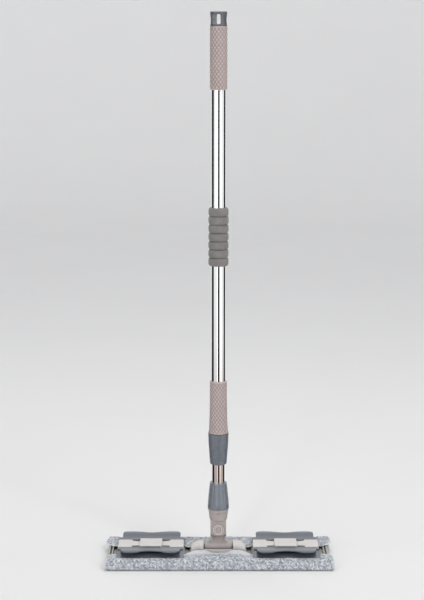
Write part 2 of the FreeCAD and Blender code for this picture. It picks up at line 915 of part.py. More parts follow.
def make_lower_grip():
    """Moulded sleeve that flares towards the collar."""
    seat = "lock_radius + bearing_clearance"
    tube = "upper_tube_radius + bearing_clearance"
    bottom = "collar_top + thread_gap"
    keep(turned_body("lower_grip", [
        (seat, bottom),
        ("lower_grip_bottom_radius - grip_chamfer / 2", bottom),
        ("lower_grip_bottom_radius", f"{bottom} + grip_chamfer"),
        ("lower_grip_bottom_radius", "lower_grip_band_bottom"),
        ("lower_grip_band_radius", "lower_grip_band_top"),
        ("lower_grip_waist_radius", "lower_grip_waist_height"),
        ("lower_grip_top_radius", "lower_grip_taper_top"),
        ("lower_grip_top_radius", "lower_grip_top - grip_chamfer"),
        ("lower_grip_top_radius - grip_chamfer", "lower_grip_top"),
        (tube, "lower_grip_top"),
        (tube, "lock_top"),
        (seat, "lock_top"),
    ]), "lower_grip")


def make_foam_grip():
    """Foam sleeve with rounded ribs; each rib is a facet pair between two grooves."""
    bore = "upper_tube_radius + bearing_clearance"
    outline = [(bore, "foam_bottom")]
    count = int(value("foam_rib_count"))
    for rib in range(count):
        base = f"foam_bottom + {rib} * foam_rib_pitch"
        outline += [
            ("foam_groove_radius", base),
            ("foam_shoulder_radius", f"{base} + foam_shoulder"),
            ("foam_radius", f"{base} + foam_crest"),
            ("foam_radius", f"{base} + foam_rib_pitch - foam_crest"),
            ("foam_shoulder_radius", f"{base} + foam_rib_pitch - foam_shoulder"),
        ]
    top = f"foam_bottom + {count} * foam_rib_pitch"
    outline += [("foam_groove_radius", top), (bore, top)]
    keep(turned_body("foam_grip", outline), "foam_grip")


def make_upper_grip():
    """Moulded sleeve below the hang cap, with a rounded lower lip."""
    bore = "upper_tube_radius + bearing_clearance"
    keep(turned_body("upper_grip", [
        (bore, "upper_grip_bottom"),
        ("upper_grip_lip_radius", "upper_grip_bottom"),
        ("upper_grip_shoulder_radius", "upper_grip_lip_top"),
        ("upper_grip_radius", "upper_grip_shoulder_top"),
        ("upper_grip_radius", "upper_grip_top"),
        (bore, "upper_grip_top"),
    ]), "upper_grip")


def make_hang_cap():
    """Cap plugged into the upper tube, with a rounded hole to hang the mop by."""
    plug = "upper_tube_radius - upper_tube_wall - bearing_clearance"
    body = turned_body("hang_cap_body", [
        ("0", "cap_plug_bottom"),
        (plug, "cap_plug_bottom"),
        (plug, "upper_grip_top"),
        ("cap_radius", "upper_grip_top"),
        ("cap_hollow_radius", "cap_hollow_bottom"),
        ("cap_waist_radius", "cap_waist_height"),
        ("cap_hollow_radius", "cap_hollow_top"),
        ("cap_radius", "cap_rim_bottom"),
        ("cap_radius", "cap_top - cap_rim_chamfer"),
        ("cap_radius - cap_rim_chamfer", "cap_top"),
        ("0", "cap_top"),
    ])
    hole = new_body("hang_hole")
    sketch = new_sketch(hole, "XZ_Plane")
    draw_outline(sketch, rectangle(
        "-hang_hole_width / 2", "hang_hole_middle - hang_hole_height / 2",
        "hang_hole_width / 2", "hang_hole_middle + hang_hole_height / 2"))
    pad(hole, sketch, "2 * (cap_radius + cutter_margin)", symmetric=True)
    soften(hole, "hang_hole_rounding", lambda edge: runs_along(edge, Y_AXIS))
    hole.Placement = Placement(Vector(), Rotation(Z_AXIS, value("hang_hole_turn")))
    keep(cut("hang_cap_cut", body, hole), "hang_cap")


# ---------------------------------------------------------------- clips

def beam_plan():
    """Corners of the housing's top: two wide end tabs, joined by a narrow web."""
    quarter = [
        ("beam_length / 2", "beam_width / 2"),
        ("tab_inner", "beam_width / 2"),
        ("tab_inner", "web_outer_half"),
        ("web_bend", "web_inner_half"),
    ]
    back = quarter + [(f"-({x})", y) for x, y in reversed(quarter)]
    front = [(x, f"-({y})") for x, y in reversed(back)]
    return back + front


def make_clip_beam(name, centre):
    """Housing on the plate: raised centre tab, two end tabs, spine, lugs and screw bosses."""
    plan = new_body(f"{name}_top")
    sketch = new_sketch(plan, "XY_Plane")
    draw_outline(sketch, beam_plan())
    pad(plan, sketch, "tab_thickness")
    end = value("beam_length / 2") - TOUCH
    soften(plan, "end_tab_corner",
           lambda edge: runs_along(edge, Z_AXIS) and abs(middle(edge).x) > end)
    top = value("tab_thickness")
    soften(plan, "rim_rounding", lambda edge: abs(edge.BoundBox.ZMin - top) < TOUCH)
    place(plan, x=centre, z="beam_top - tab_thickness")

    def block(part, left, right, half_width, bottom, top):
        return box(f"{name}_{part}", f"{centre} + {left}", f"{centre} + {right}",
                   f"-({half_width})", half_width, bottom, top)

    under = "beam_top - tab_thickness"
    tab = make_centre_tab(f"{name}_centre_tab", centre)
    spine = block("spine", "-spine_length / 2", "spine_length / 2", "spine_width / 2",
                  "plate_top", under)
    hollow = block("hollow", "-(spine_length / 2 - spine_wall)", "spine_length / 2 - spine_wall",
                   "spine_width / 2 - spine_wall", "plate_top - cutter_margin",
                   f"{under} - spine_wall")
    shell = cut(f"{name}_shell", spine, hollow)
    pieces = [plan, tab, shell]
    for side in SIDES:
        plate = sorted((f"{side} * beam_length / 2",
                        f"{side} * (beam_length / 2 - end_plate_thickness)"), key=value)
        pieces.append(block(f"end_{SIDE_NAMES[side]}", plate[0], plate[1], "beam_width / 2",
                            "plate_top", under))
        boss_x = f"{centre} + {side} * screw_boss_place"
        boss = rod(f"{name}_boss_{SIDE_NAMES[side]}", Z_AXIS, "screw_boss_radius", "plate_top", under,
                   boss_x, "0")
        pieces.append(boss)
        pieces += make_lugs(name, centre, side)
    blank = fuse(f"{name}_blank", pieces)
    tools = []
    for side in SIDES:
        tools.append(rod(f"{name}_screw_hole_{SIDE_NAMES[side]}", Z_AXIS,
                         "screw_radius + bearing_clearance", "plate_top - cutter_margin",
                         "clip_screw_top + hole_margin",
                         f"{centre} + {side} * screw_boss_place", "0"))
        tools.append(rod(f"{name}_pin_hole_{SIDE_NAMES[side]}", X_AXIS,
                         "jaw_pin_radius + bearing_clearance",
                         f"{centre} - jaw_pin_length / 2 - hole_margin",
                         f"{centre} + jaw_pin_length / 2 + hole_margin",
                         y=f"{side} * jaw_pin_place", z="jaw_pin_height"))
    keep(cut(f"{name}_cut", blank, *tools), name)


def make_centre_tab(name, centre):
    """Raised tab in the middle of the housing, with a rounded rim."""
    tab = new_body(name)
    sketch = new_sketch(tab, "XY_Plane")
    draw_outline(sketch, rectangle("-centre_tab_length / 2", "-beam_width / 2",
                                   "centre_tab_length / 2", "beam_width / 2"))
    pad(tab, sketch, "centre_tab_top - beam_top")
    soften(tab, "centre_tab_corner", lambda edge: runs_along(edge, Z_AXIS))
    top = value("centre_tab_top - beam_top")
    soften(tab, "rim_rounding", lambda edge: abs(edge.BoundBox.ZMin - top) < TOUCH)
    return place(tab, x=centre, z="beam_top")


def make_lugs(name, centre, side):
    """Four lugs on one edge of the housing: two by the centre tab and two by the end tabs."""
    lugs = []
    outer = f"{side} * beam_width / 2"
    inner = f"{side} * (beam_width / 2 - lug_reach)"
    front, back = sorted((outer, inner), key=value)
    for end in SIDES:
        for spot, start in (("tab", "tab_inner"),
                            ("centre", "centre_tab_length / 2 - lug_thickness")):
            left, right = sorted((f"{centre} + {end} * ({start})",
                                  f"{centre} + {end} * ({start} + lug_thickness)"), key=value)
            top = "beam_top" if spot == "centre" else "beam_top - tab_thickness"
            lug = f"{name}_{spot}_lug_{SIDE_NAMES[side]}_{SIDE_NAMES[end]}"
            lugs.append(box(lug, left, right, front, back, "lug_bottom", top))
    return lugs


def make_jaw(name, centre, turn):
    """Toothed jaw with a wavy finger lip and two knuckles, drawn as a front jaw."""
    leg = make_jaw_leg(f"{name}_leg")
    wing = make_jaw_wing(f"{name}_wing")
    pieces = [leg, wing]
    for side in SIDES:
        left, right = sorted((f"{side} * knuckle_inner",
                              f"{side} * (knuckle_inner + knuckle_length)"), key=value)
        pieces.append(rod(f"{name}_knuckle_{SIDE_NAMES[side]}", X_AXIS, "knuckle_radius", left, right,
                          y="-jaw_pin_place", z="jaw_pin_height"))
        pieces.append(box(f"{name}_arm_{SIDE_NAMES[side]}", left, right, "-jaw_inner - arm_overlap",
                          "-jaw_pin_place", "arm_bottom", "arm_top"))
    blank = fuse(f"{name}_blank", pieces)
    pin_hole = rod(f"{name}_pin_hole", X_AXIS, "jaw_pin_radius + bearing_clearance",
                   "-jaw_length / 2", "jaw_length / 2", y="-jaw_pin_place", z="jaw_pin_height")
    relief = box(f"{name}_relief", "-centre_tab_length / 2 - relief_gap",
                 "centre_tab_length / 2 + relief_gap", "-jaw_inner - relief_depth",
                 "-jaw_inner + cutter_margin", "plate_top", "wing_top")
    jaw = cut(f"{name}_cut", blank, pin_hole, relief)
    jaw.Placement = Placement(Vector(value(centre), 0, 0), Rotation(Z_AXIS, turn))
    keep(jaw, name)


def make_jaw_leg(name):
    """Sloping leg from the hinge to the row of teeth."""
    leg = new_body(name)
    sketch = new_sketch(leg, "YZ_Plane")
    draw_outline(sketch, [
        ("-jaw_inner", "jaw_top - jaw_root_depth"),
        ("-jaw_inner", "jaw_top"),
        ("-shoulder_reach", "jaw_top"),
        ("-shoulder_reach", "shoulder_bottom"),
        ("-tooth_reach", "tooth_height"),
        ("-tooth_reach + leg_thickness", "tooth_height"),
        ("-inner_bend_reach", "inner_bend_height"),
    ])
    pad(leg, sketch, "jaw_length", symmetric=True)
    ends = new_sketch(leg, "XY_Plane", "tooth_height - cutter_margin")
    for side in SIDES:
        edge = f"{side} * jaw_length / 2"
        draw_outline(ends, [
            (edge, "-tooth_reach"),
            (f"{edge} - {side} * jaw_end_slant", "-jaw_inner + cutter_margin"),
            (f"{edge} + {side} * cutter_margin", "-jaw_inner + cutter_margin"),
        ])
    pocket(leg, ends, "jaw_top")
    notch = new_sketch(leg, "XZ_Plane", "tooth_reach - notch_length / 2")
    draw_outline(notch, [
        ("-jaw_length / 2", "tooth_height - cutter_margin"),
        ("-jaw_length / 2 + tooth_pitch", "tooth_height - cutter_margin"),
        ("-jaw_length / 2 + tooth_pitch / 2", "tooth_height + tooth_depth"),
    ])
    first = pocket(leg, notch, "notch_length")
    pattern = leg.newObject("PartDesign::LinearPattern", f"{name}_teeth")
    pattern.Originals = [first]
    pattern.Direction = (notch, ["H_Axis"])
    bind(pattern, Length="jaw_length - tooth_pitch")
    pattern.Occurrences = int(value("jaw_length / tooth_pitch"))
    leg.Tip = pattern
    doc.recompute()
    return leg


def make_jaw_wing(name):
    """Finger lip arched over towards its edge: its side profile within its wavy plan."""
    profile = new_body(f"{name}_profile")
    sketch = new_sketch(profile, "YZ_Plane")
    upper = [
        ("-wing_start", "jaw_top"),
        ("-wing_bend_reach", "wing_bend_height"),
        ("-wing_shoulder_reach", "wing_shoulder_height"),
        ("-wing_crest_reach", "wing_top"),
        ("-wing_reach", "wing_tip"),
    ]
    under = [(y, f"{z} - wing_thickness") for y, z in reversed(upper)]
    draw_outline(sketch, upper + under)
    pad(profile, sketch, "wing_length", symmetric=True)
    wing = doc.addObject("Part::Common", name)
    wing.Base = profile
    wing.Tool = make_wing_plan(f"{name}_plan")
    doc.recompute()
    return wing


def make_wing_plan(name):
    """Upright prism over the lip: rounded outer corners and a dip between two lobes."""
    plan = new_body(name)
    sketch = new_sketch(plan, "XY_Plane")
    draw_outline(sketch, rectangle("-wing_length / 2", "-wing_reach",
                                   "wing_length / 2", "-wing_start"))
    pad(plan, sketch, "wing_top + cutter_margin")
    dip = new_sketch(plan, "XY_Plane")
    draw_circle(dip, "0", "-wing_reach + wing_dip_depth - wing_dip_radius", "wing_dip_radius")
    pocket(plan, dip, "wing_top + cutter_margin")
    reach = value("wing_reach") - TOUCH
    end = value("wing_length / 2") - TOUCH

    def upright(edge):
        return runs_along(edge, Z_AXIS) and -middle(edge).y > reach

    soften(plan, "wing_wave_radius", lambda edge: upright(edge) and abs(middle(edge).x) < end)
    soften(plan, "wing_corner", lambda edge: upright(edge) and abs(middle(edge).x) > end)
    return plan


def make_jaw_pin(name, centre, side):
    keep(rod(name, X_AXIS, "jaw_pin_radius", f"{centre} - jaw_pin_length / 2",
             f"{centre} + jaw_pin_length / 2", y=f"{side} * jaw_pin_place",
             z="jaw_pin_height"), name)


def make_jaw_springs(name, centre, side):
    """Two torsion springs on a jaw pin, under the centre tab; each turn is a closed ring."""
    rings = []
    for end in SIDES:
        coil = []
        for turn in range(int(value("spring_turns"))):
            ring = doc.addObject("Part::Torus", f"{name}_ring_{SIDE_NAMES[end]}_{turn + 1}")
            ring.Placement = Placement(Vector(), Rotation(Z_AXIS, X_AXIS))
            bind(ring, Radius1="spring_coil_radius", Radius2="spring_wire_radius")
            x = f"{centre} + {end} * spring_place + ({turn} - spring_turns / 2) * spring_pitch"
            coil.append(place(ring, x, f"{side} * jaw_pin_place", "jaw_pin_height"))
        rings += coil
    keep(group(f"{name}_group", rings), name)


def make_clip(name, side):
    """One clamp: housing, screws, two jaws with their pins and springs."""
    centre = f"({side} * clip_place)"
    make_clip_beam(f"{name}_clip_beam", centre)
    places = [(f"{centre} + {end} * screw_boss_place", "0") for end in SIDES]
    make_screws(f"{name}_clip_screws", places, "clip_screw_top")
    for jaw, turn in JAWS.items():
        across = -1 if jaw == "front" else 1
        make_jaw(f"{name}_{jaw}_jaw", centre, turn)
        make_jaw_pin(f"{name}_{jaw}_pin", centre, across)
        make_jaw_springs(f"{name}_{jaw}_springs", centre, across)


# ---------------------------------------------------------------- checks and export

def check_document():
    """Stop on any failed object and on any piece that isn't a set of sound solids."""
    doc.recompute()
    failed = [thing.Label for thing in doc.Objects
              if "Invalid" in thing.State or "Error" in thing.State]
    for node in nodes:
        shape = node.Shape
        if shape.isNull() or not shape.isValid() or not shape.Solids:
            failed.append(f"{node.Label} (no valid solid)")
    if failed:
        raise RuntimeError("failed: " + ", ".join(failed))


def export_nodes():
    os.makedirs("parts", exist_ok=True)
    for node in nodes:
        node.Shape.exportStep(f"parts/{node.Label}.step")
        size = node.Shape.BoundBox
        print(f"{node.Label}: {len(node.Shape.Solids)} solid(s), "
              f"{size.XLength:.1f} x {size.YLength:.1f} x {size.ZLength:.1f} mm")


def main():
    fill_sheet()
    make_mop_cloth()
    make_foam_pad()
    make_base_plate()
    make_pivot_bracket()
    make_screws("bracket_screws", screw_places()[0], "bracket_screw_top")
    make_hinge_rod()
    make_thrust_washers()
    make_yoke()
    make_knuckle_pin()
    make_pin_cap("pin_cap_front", -1)
    make_pin_cap("pin_cap_rear", 1)
    make_connector()
    make_tube("lower_tube", "lower_tube_radius", "lower_tube_wall", "tube_seat",
              "lower_tube_top")
    make_tube_nut()
    make_guide_bush()
    make_collet()
    make_twist_collar()
    make_lock_body()
    make_lower_grip()
    make_tube("upper_tube", "upper_tube_radius", "upper_tube_wall", "upper_tube_bottom",
              "upper_tube_top")
    make_foam_grip()
    make_upper_grip()
    make_hang_cap()
    for name, side in CLIPS.items():
        make_clip(name, side)
    check_document()
    export_nodes()


main()
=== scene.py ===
"""Flat clamp mop: its looks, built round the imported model. Lengths are in metres.

The tubes, housings, clips and pins are the CAD's own solids with finished
materials. The pile cloth and its hem, the foam under the plate, the two
diamond-patterned grips and the ribbed sleeve are modelled here in place of
their plain CAD solids.
"""
import json
import math

import bmesh
import bpy
import numpy as np
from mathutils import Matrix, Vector, noise


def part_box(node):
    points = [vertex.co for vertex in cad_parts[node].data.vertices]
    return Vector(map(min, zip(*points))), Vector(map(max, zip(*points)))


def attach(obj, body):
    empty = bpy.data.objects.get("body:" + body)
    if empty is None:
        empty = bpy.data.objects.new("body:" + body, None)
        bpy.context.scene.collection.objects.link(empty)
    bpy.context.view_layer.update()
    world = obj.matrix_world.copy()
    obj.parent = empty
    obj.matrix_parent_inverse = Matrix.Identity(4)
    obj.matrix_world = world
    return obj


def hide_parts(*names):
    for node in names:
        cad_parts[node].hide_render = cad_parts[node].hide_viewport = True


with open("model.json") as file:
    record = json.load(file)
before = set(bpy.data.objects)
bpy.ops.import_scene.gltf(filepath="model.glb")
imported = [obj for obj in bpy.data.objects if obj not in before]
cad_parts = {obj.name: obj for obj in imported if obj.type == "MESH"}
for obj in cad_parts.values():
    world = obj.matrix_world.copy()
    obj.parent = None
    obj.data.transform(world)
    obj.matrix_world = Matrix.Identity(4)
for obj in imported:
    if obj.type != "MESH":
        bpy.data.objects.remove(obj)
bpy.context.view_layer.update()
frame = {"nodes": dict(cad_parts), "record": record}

MM = 0.001
FRONT, REAR = -1, 1
FLOOR_GAP = 0.05 * MM


# ---------------------------------------------------------------- node helpers

USUAL_NOISE = (0.3, 0.7)
NO_STRETCH = (1, 1, 1)
HOLLOW_SAMPLES = 6
ROUNDING_SAMPLES = 4


class Nodes:
    """A node tree, with short calls for the nodes that it needs."""

    def __init__(self, tree):
        self.tree = tree

    def add(self, kind, **settings):
        """A new node with these settings of its own."""
        node = self.tree.nodes.new(kind)
        for key, setting in settings.items():
            setattr(node, key, setting)
        return node

    def link(self, source, target):
        """Join an output socket to an input socket."""
        self.tree.links.new(source, target)

    def feed(self, source, target):
        """Link a socket, or set a number or a colour."""
        if isinstance(source, bpy.types.NodeSocket):
            self.link(source, target)
        elif isinstance(source, (int, float)):
            target.default_value = source
        else:
            target.default_value = (*source, 1)

    def calculate(self, operation, *values):
        """The result of a maths node fed with these sockets or numbers."""
        node = self.add("ShaderNodeMath", operation=operation)
        for value, target in zip(values, node.inputs):
            self.feed(value, target)
        return node.outputs["Value"]

    def split(self, vector):
        """The X, Y and Z sockets of a vector."""
        node = self.add("ShaderNodeSeparateXYZ")
        self.link(vector, node.inputs["Vector"])
        return node.outputs

    def span(self, source, given, wanted=(0, 1)):
        """Map a value from the given range to the wanted one, held at its ends."""
        node = self.add("ShaderNodeMapRange")
        self.link(source, node.inputs["Value"])
        names = ("From Min", "From Max", "To Min", "To Max")
        for name, limit in zip(names, (*given, *wanted)):
            node.inputs[name].default_value = limit
        return node.outputs["Result"]

    def mix(self, factor, first, second, blend="MIX"):
        """Mix two colours, each a colour or a socket."""
        node = self.add("ShaderNodeMix", data_type="RGBA", blend_type=blend)
        by_name = {socket.identifier: socket for socket in node.inputs}
        self.feed(factor, by_name["Factor_Float"])
        self.feed(first, by_name["A_Color"])
        self.feed(second, by_name["B_Color"])
        return next(s for s in node.outputs if s.identifier == "Result_Color")


class Shader(Nodes):
    """One material round a principled surface, with calls for what its looks need."""

    def __init__(self, name):
        self.material = bpy.data.materials.new(name)
        self.material.use_nodes = True
        super().__init__(self.material.node_tree)
        self.tree.nodes.clear()
        self.surface = self.add("ShaderNodeBsdfPrincipled")
        output = self.add("ShaderNodeOutputMaterial")
        self.link(self.surface.outputs["BSDF"], output.inputs["Surface"])

    def set(self, **values):
        """Constants on the surface's own sockets; underscores stand for spaces."""
        for key, setting in values.items():
            self.surface.inputs[key.replace("_", " ")].default_value = setting

    def place(self, stretch=NO_STRETCH):
        """The point's own place in the object, stretched along the axes."""
        spot = self.add("ShaderNodeTexCoord")
        mapping = self.add("ShaderNodeMapping")
        mapping.inputs["Scale"].default_value = stretch
        self.link(spot.outputs["Object"], mapping.inputs["Vector"])
        return mapping.outputs["Vector"]

    def noise(self, size, detail=2, stretch=NO_STRETCH):
        """Noise whose lumps are about size wide."""
        node = self.add("ShaderNodeTexNoise")
        node.inputs["Scale"].default_value = 1 / size
        node.inputs["Detail"].default_value = detail
        self.link(self.place(stretch), node.inputs["Vector"])
        return node.outputs["Fac"]

    def cells(self, size):
        """Distance to the middle of round cells about size wide."""
        node = self.add("ShaderNodeTexVoronoi")
        node.inputs["Scale"].default_value = 1 / size
        self.link(self.place(), node.inputs["Vector"])
        return node.outputs["Distance"]

    def painted(self, name):
        """A value that the mesh carries at its points."""
        return self.add("ShaderNodeAttribute", attribute_name=name).outputs["Fac"]

    def hollows(self, reach):
        """1 in the open, falling towards 0 in corners and gaps narrower than reach."""
        node = self.add("ShaderNodeAmbientOcclusion", samples=HOLLOW_SAMPLES)
        node.inputs["Distance"].default_value = reach
        return node.outputs["AO"]

    def rounding(self, radius):
        """The normal as if every sharp edge were rounded to this radius."""
        node = self.add("ShaderNodeBevel", samples=ROUNDING_SAMPLES)
        node.inputs["Radius"].default_value = radius
        return node.outputs["Normal"]

    def edges(self, rounded):
        """1 on flat faces and lower where the rounded normal leaves the true one."""
        plain = self.add("ShaderNodeNewGeometry")
        agreement = self.add("ShaderNodeVectorMath", operation="DOT_PRODUCT")
        self.link(rounded, agreement.inputs[0])
        self.link(plain.outputs["Normal"], agreement.inputs[1])
        return agreement.outputs["Value"]

    def spread(self, source, wanted=(0, 1)):
        """Map the values that noise mostly takes to the wanted range."""
        return self.span(source, USUAL_NOISE, wanted)

    def mottled(self, mottle, colour, dark, pale):
        """A colour that wanders with the mottle between two brightnesses."""
        return self.mix(self.spread(mottle), shade(colour, dark), shade(colour, pale))

    def bump(self, height, depth, strength, onto=None):
        """Raise the surface by height times depth; onto is the normal under it."""
        node = self.add("ShaderNodeBump")
        node.inputs["Strength"].default_value = strength
        node.inputs["Distance"].default_value = depth
        self.link(height, node.inputs["Height"])
        if onto is not None:
            self.link(onto, node.inputs["Normal"])
        return node.outputs["Normal"]

    def finish(self, colour, roughness, normal):
        """Feed the three inputs that every material here has."""
        self.feed(colour, self.surface.inputs["Base Color"])
        self.feed(roughness, self.surface.inputs["Roughness"])
        self.link(normal, self.surface.inputs["Normal"])
        return self.material


def shade(colour, factor):
    """A colour made darker or paler, held at full brightness."""
    return tuple(min(1.0, part * factor) for part in colour)


# ---------------------------------------------------------------- materials

COAT_ROUGHNESS = 0.12
RING_DEPTH = 0.9 * MM
RING_FADE = 0.8 * MM
DRAWN_OUT = (1, 1, 0.004)
BLUE_YARN = (0.27, 0.31, 0.375)
WHITE_YARN = (0.80, 0.81, 0.82)
BLENDED_YARN = (0.40, 0.43, 0.49)
LOOP_HOLLOW_SHADE = (0.045, 0.055, 0.085)
LOOSE_FIBRE = (0.93, 0.94, 0.95)
STITCH_GAP_SHADE = (0.42, 0.45, 0.49)
HEM_FIBRE = (0.88, 0.89, 0.90)


def moulded_plastic(name, colour, roughness, edge_wear_and_highlight=0.35, reach=4 * MM, gloss=0.0):
    """Satin moulded plastic: fine grain, faint mottling, edges painted paler (partly worn, partly
    painted highlight), painted shade in gaps and corners.
    """
    shader = Shader(name)
    shader.set(Coat_Weight=gloss, Coat_Roughness=COAT_ROUGHNESS)
    mottle = shader.noise(16 * MM, detail=3)
    base = shader.mottled(mottle, colour, 0.95, 1.05)
    rounded = shader.rounding(0.7 * MM)
    # Edges painted paler: partly worn, partly painted highlight.
    worn_and_highlit_edges = shader.span(shader.edges(rounded), (0.80, 0.995), (edge_wear_and_highlight, 0))
    base = shader.mix(worn_and_highlit_edges, base, shade(colour, 1.6))
    # Painted shade: darker in gaps and corners, where shade falls.
    painted_gap_shade = shader.span(shader.hollows(reach), (0.3, 0.93), (0.85, 0))
    base = shader.mix(painted_gap_shade, base, shade(colour, 0.25))
    satin = shader.spread(mottle, (roughness - 0.04, roughness + 0.05))
    grain = shader.noise(0.4 * MM, detail=1)
    return shader.finish(base, satin, shader.bump(grain, 0.04 * MM, 0.3, onto=rounded))


def ringed_plastic(name, colour, node, roughness):
    """The pivot caps' plastic: raised rings painted pale (partly worn, partly painted highlight),
    with painted shade in the grooves between.
    """
    shader = Shader(name)
    low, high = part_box(node)
    groove = max(abs(low.y), abs(high.y)) - RING_DEPTH
    outward = shader.calculate("ABSOLUTE", shader.split(shader.place())["Y"])
    raised = shader.span(outward, (groove, groove + RING_FADE))
    # Painted shade in the grooves, painted highlight on the raised rings.
    base = shader.mix(raised, shade(colour, 0.62), shade(colour, 1.75))
    mottle = shader.noise(8 * MM, detail=3)
    base = shader.mix(shader.spread(mottle, (0, 0.2)), base, colour)
    return shader.finish(base, roughness, shader.bump(mottle, 0.05 * MM, 0.2))


def drawn_steel(name, colour, roughness):
    """Stainless tube or wire, with hairline draw marks and faint smudges."""
    shader = Shader(name)
    shader.set(Metallic=1.0)
    marks = shader.noise(0.6 * MM, detail=3, stretch=DRAWN_OUT)
    smudge = shader.noise(60 * MM, detail=1)
    base = shader.mix(shader.span(smudge, (0.35, 0.7)), colour, shade(colour, 0.94))
    hairline = shader.span(marks, (0.35, 0.7), (roughness * 0.7, roughness * 1.4))
    haze = shader.span(smudge, (0.5, 0.75), (0, 0.04))
    hazy = shader.calculate("ADD", hairline, haze)
    return shader.finish(base, hazy, shader.bump(marks, 0.01 * MM, 0.15))


def grip_rubber(name, colour):
    """Matt rubber: the raised diamonds painted pale as highlight, painted shade in the grooves
    between them.
    """
    shader = Shader(name)
    raised = shader.painted("relief")
    mottle = shader.noise(9 * MM, detail=3)
    base = shader.mottled(mottle, colour, 0.94, 1.05)
    # Painted shade in the grooves between the diamonds.
    groove = shader.span(raised, (0.0, 0.55), (0.75, 0))
    base = shader.mix(groove, base, shade(colour, 0.3))
    # Painted highlight on the tops of the diamonds.
    crest = shader.span(raised, (0.7, 1.0), (0, 0.3))
    base = shader.mix(crest, base, shade(colour, 1.35))
    matt = shader.spread(mottle, (0.5, 0.62))
    grain = shader.noise(0.35 * MM, detail=2)
    return shader.finish(base, matt, shader.bump(grain, 0.06 * MM, 0.5))


def soft_foam(name, colour, pore):
    """Closed-cell foam: small pores with painted shade in them, and painted shade in the grooves.
    """
    shader = Shader(name)
    shader.set(Sheen_Weight=0.25, Sheen_Roughness=0.5, Specular_IOR_Level=0.25)
    mottle = shader.noise(11 * MM, detail=4)
    base = shader.mottled(mottle, colour, 0.88, 1.1)
    pores = shader.cells(pore)
    # Painted shade in the pores.
    base = shader.mix(shader.span(pores, (0.0, 0.35), (0.35, 0)), base, shade(colour, 0.55))
    # Painted shade in the grooves, where light hardly reaches.
    painted_gap_shade = shader.span(shader.hollows(9 * MM), (0.3, 0.9), (0.75, 0))
    base = shader.mix(painted_gap_shade, base, shade(colour, 0.3))
    matt = shader.spread(mottle, (0.78, 0.92))
    return shader.finish(base, matt, shader.bump(pores, 0.25 * MM, 0.6))


def loop_pile(name):
    """Microfibre loops: white and blue-grey yarns, with painted shade between the loops."""
    shader = Shader(name)
    shader.set(Sheen_Weight=0.15, Sheen_Roughness=0.6, Specular_IOR_Level=0.15)
    yarn = shader.span(shader.painted("yarn"), (0.3, 0.7))
    base = shader.mix(yarn, BLUE_YARN, WHITE_YARN)
    patch = shader.span(shader.noise(30 * MM, detail=3), (0.35, 0.65), (0, 0.2))
    base = shader.mix(patch, base, BLENDED_YARN)
    # Painted shade between the loops, deepest at their feet.
    foot = shader.span(shader.painted("loop"), (0.15, 0.75), (0.95, 0))
    base = shader.mix(foot, base, LOOP_HOLLOW_SHADE)
    fibres = shader.noise(0.5 * MM, detail=3, stretch=(1, 0.35, 1))
    base = shader.mix(shader.span(fibres, (0.45, 0.7), (0, 0.25)), base, LOOSE_FIBRE)
    return shader.finish(base, 0.95, shader.bump(fibres, 0.5 * MM, 0.8))


def stitched_hem(name):
    """Overlocked edge: pale thread lying across the hem, stitch by stitch, with painted shade
    between the stitches.
    """
    shader = Shader(name)
    shader.set(Sheen_Weight=0.2, Sheen_Roughness=0.5, Specular_IOR_Level=0.2)
    thread = shader.span(shader.painted("stitch"), (0.1, 0.7))
    # Painted shade between the stitches.
    base = shader.mix(thread, STITCH_GAP_SHADE, WHITE_YARN)
    fibres = shader.noise(0.4 * MM, detail=3)
    base = shader.mix(shader.span(fibres, (0.4, 0.7), (0, 0.25)), base, HEM_FIBRE)
    return shader.finish(base, 0.85, shader.bump(fibres, 0.2 * MM, 0.7))


FORK_TONE = (0.47, 0.415, 0.40)
# Plastics: how much paler the edges are painted (partly worn, partly painted highlight), and how
# far the painted shade in gaps and corners reaches.
MATERIALS = {
    "housing_plastic": moulded_plastic("housing_plastic", (0.68, 0.645, 0.62), 0.36, edge_wear_and_highlight=0.7),
    "jaw_plastic": moulded_plastic("jaw_plastic", (0.115, 0.128, 0.152), 0.33, edge_wear_and_highlight=0.7,
                                   reach=8 * MM, gloss=0.3),
    "fork_plastic": moulded_plastic("fork_plastic", FORK_TONE, 0.38, edge_wear_and_highlight=0.9, reach=3 * MM),
    "cap_plastic": moulded_plastic("cap_plastic", (0.112, 0.120, 0.135), 0.30, edge_wear_and_highlight=0.5,
                                   gloss=0.4),
    "nut_plastic": moulded_plastic("nut_plastic", (0.190, 0.210, 0.245), 0.28, edge_wear_and_highlight=1.0,
                                   gloss=0.7),
    "collar_plastic": moulded_plastic("collar_plastic", (0.160, 0.180, 0.212), 0.28, edge_wear_and_highlight=0.6,
                                      reach=1 * MM, gloss=0.6),
    "pivot_cap": ringed_plastic("pivot_cap", FORK_TONE, "pin_cap_front", 0.38),
    "plate_plastic": moulded_plastic("plate_plastic", (0.42, 0.42, 0.38), 0.45),
    "nylon": moulded_plastic("nylon", (0.66, 0.63, 0.59), 0.45),
    "grip_rubber": grip_rubber("grip_rubber", (0.52, 0.43, 0.415)),
    "foam_sleeve": soft_foam("foam_sleeve", (0.245, 0.232, 0.225), 0.9 * MM),
    "cloth": loop_pile("cloth"),
    "hem": stitched_hem("hem"),
    "pad_foam": soft_foam("pad_foam", (0.10, 0.105, 0.115), 1.4 * MM),
    "polished_steel": drawn_steel("polished_steel", (0.92, 0.91, 0.90), 0.06),
    "plain_steel": drawn_steel("plain_steel", (0.55, 0.55, 0.54), 0.28),
}
OWN_FINISH = {
    "tube_nut": "nut_plastic",
    "twist_collar": "collar_plastic",
    "pin_cap_front": "pivot_cap",
    "pin_cap_rear": "pivot_cap",
}


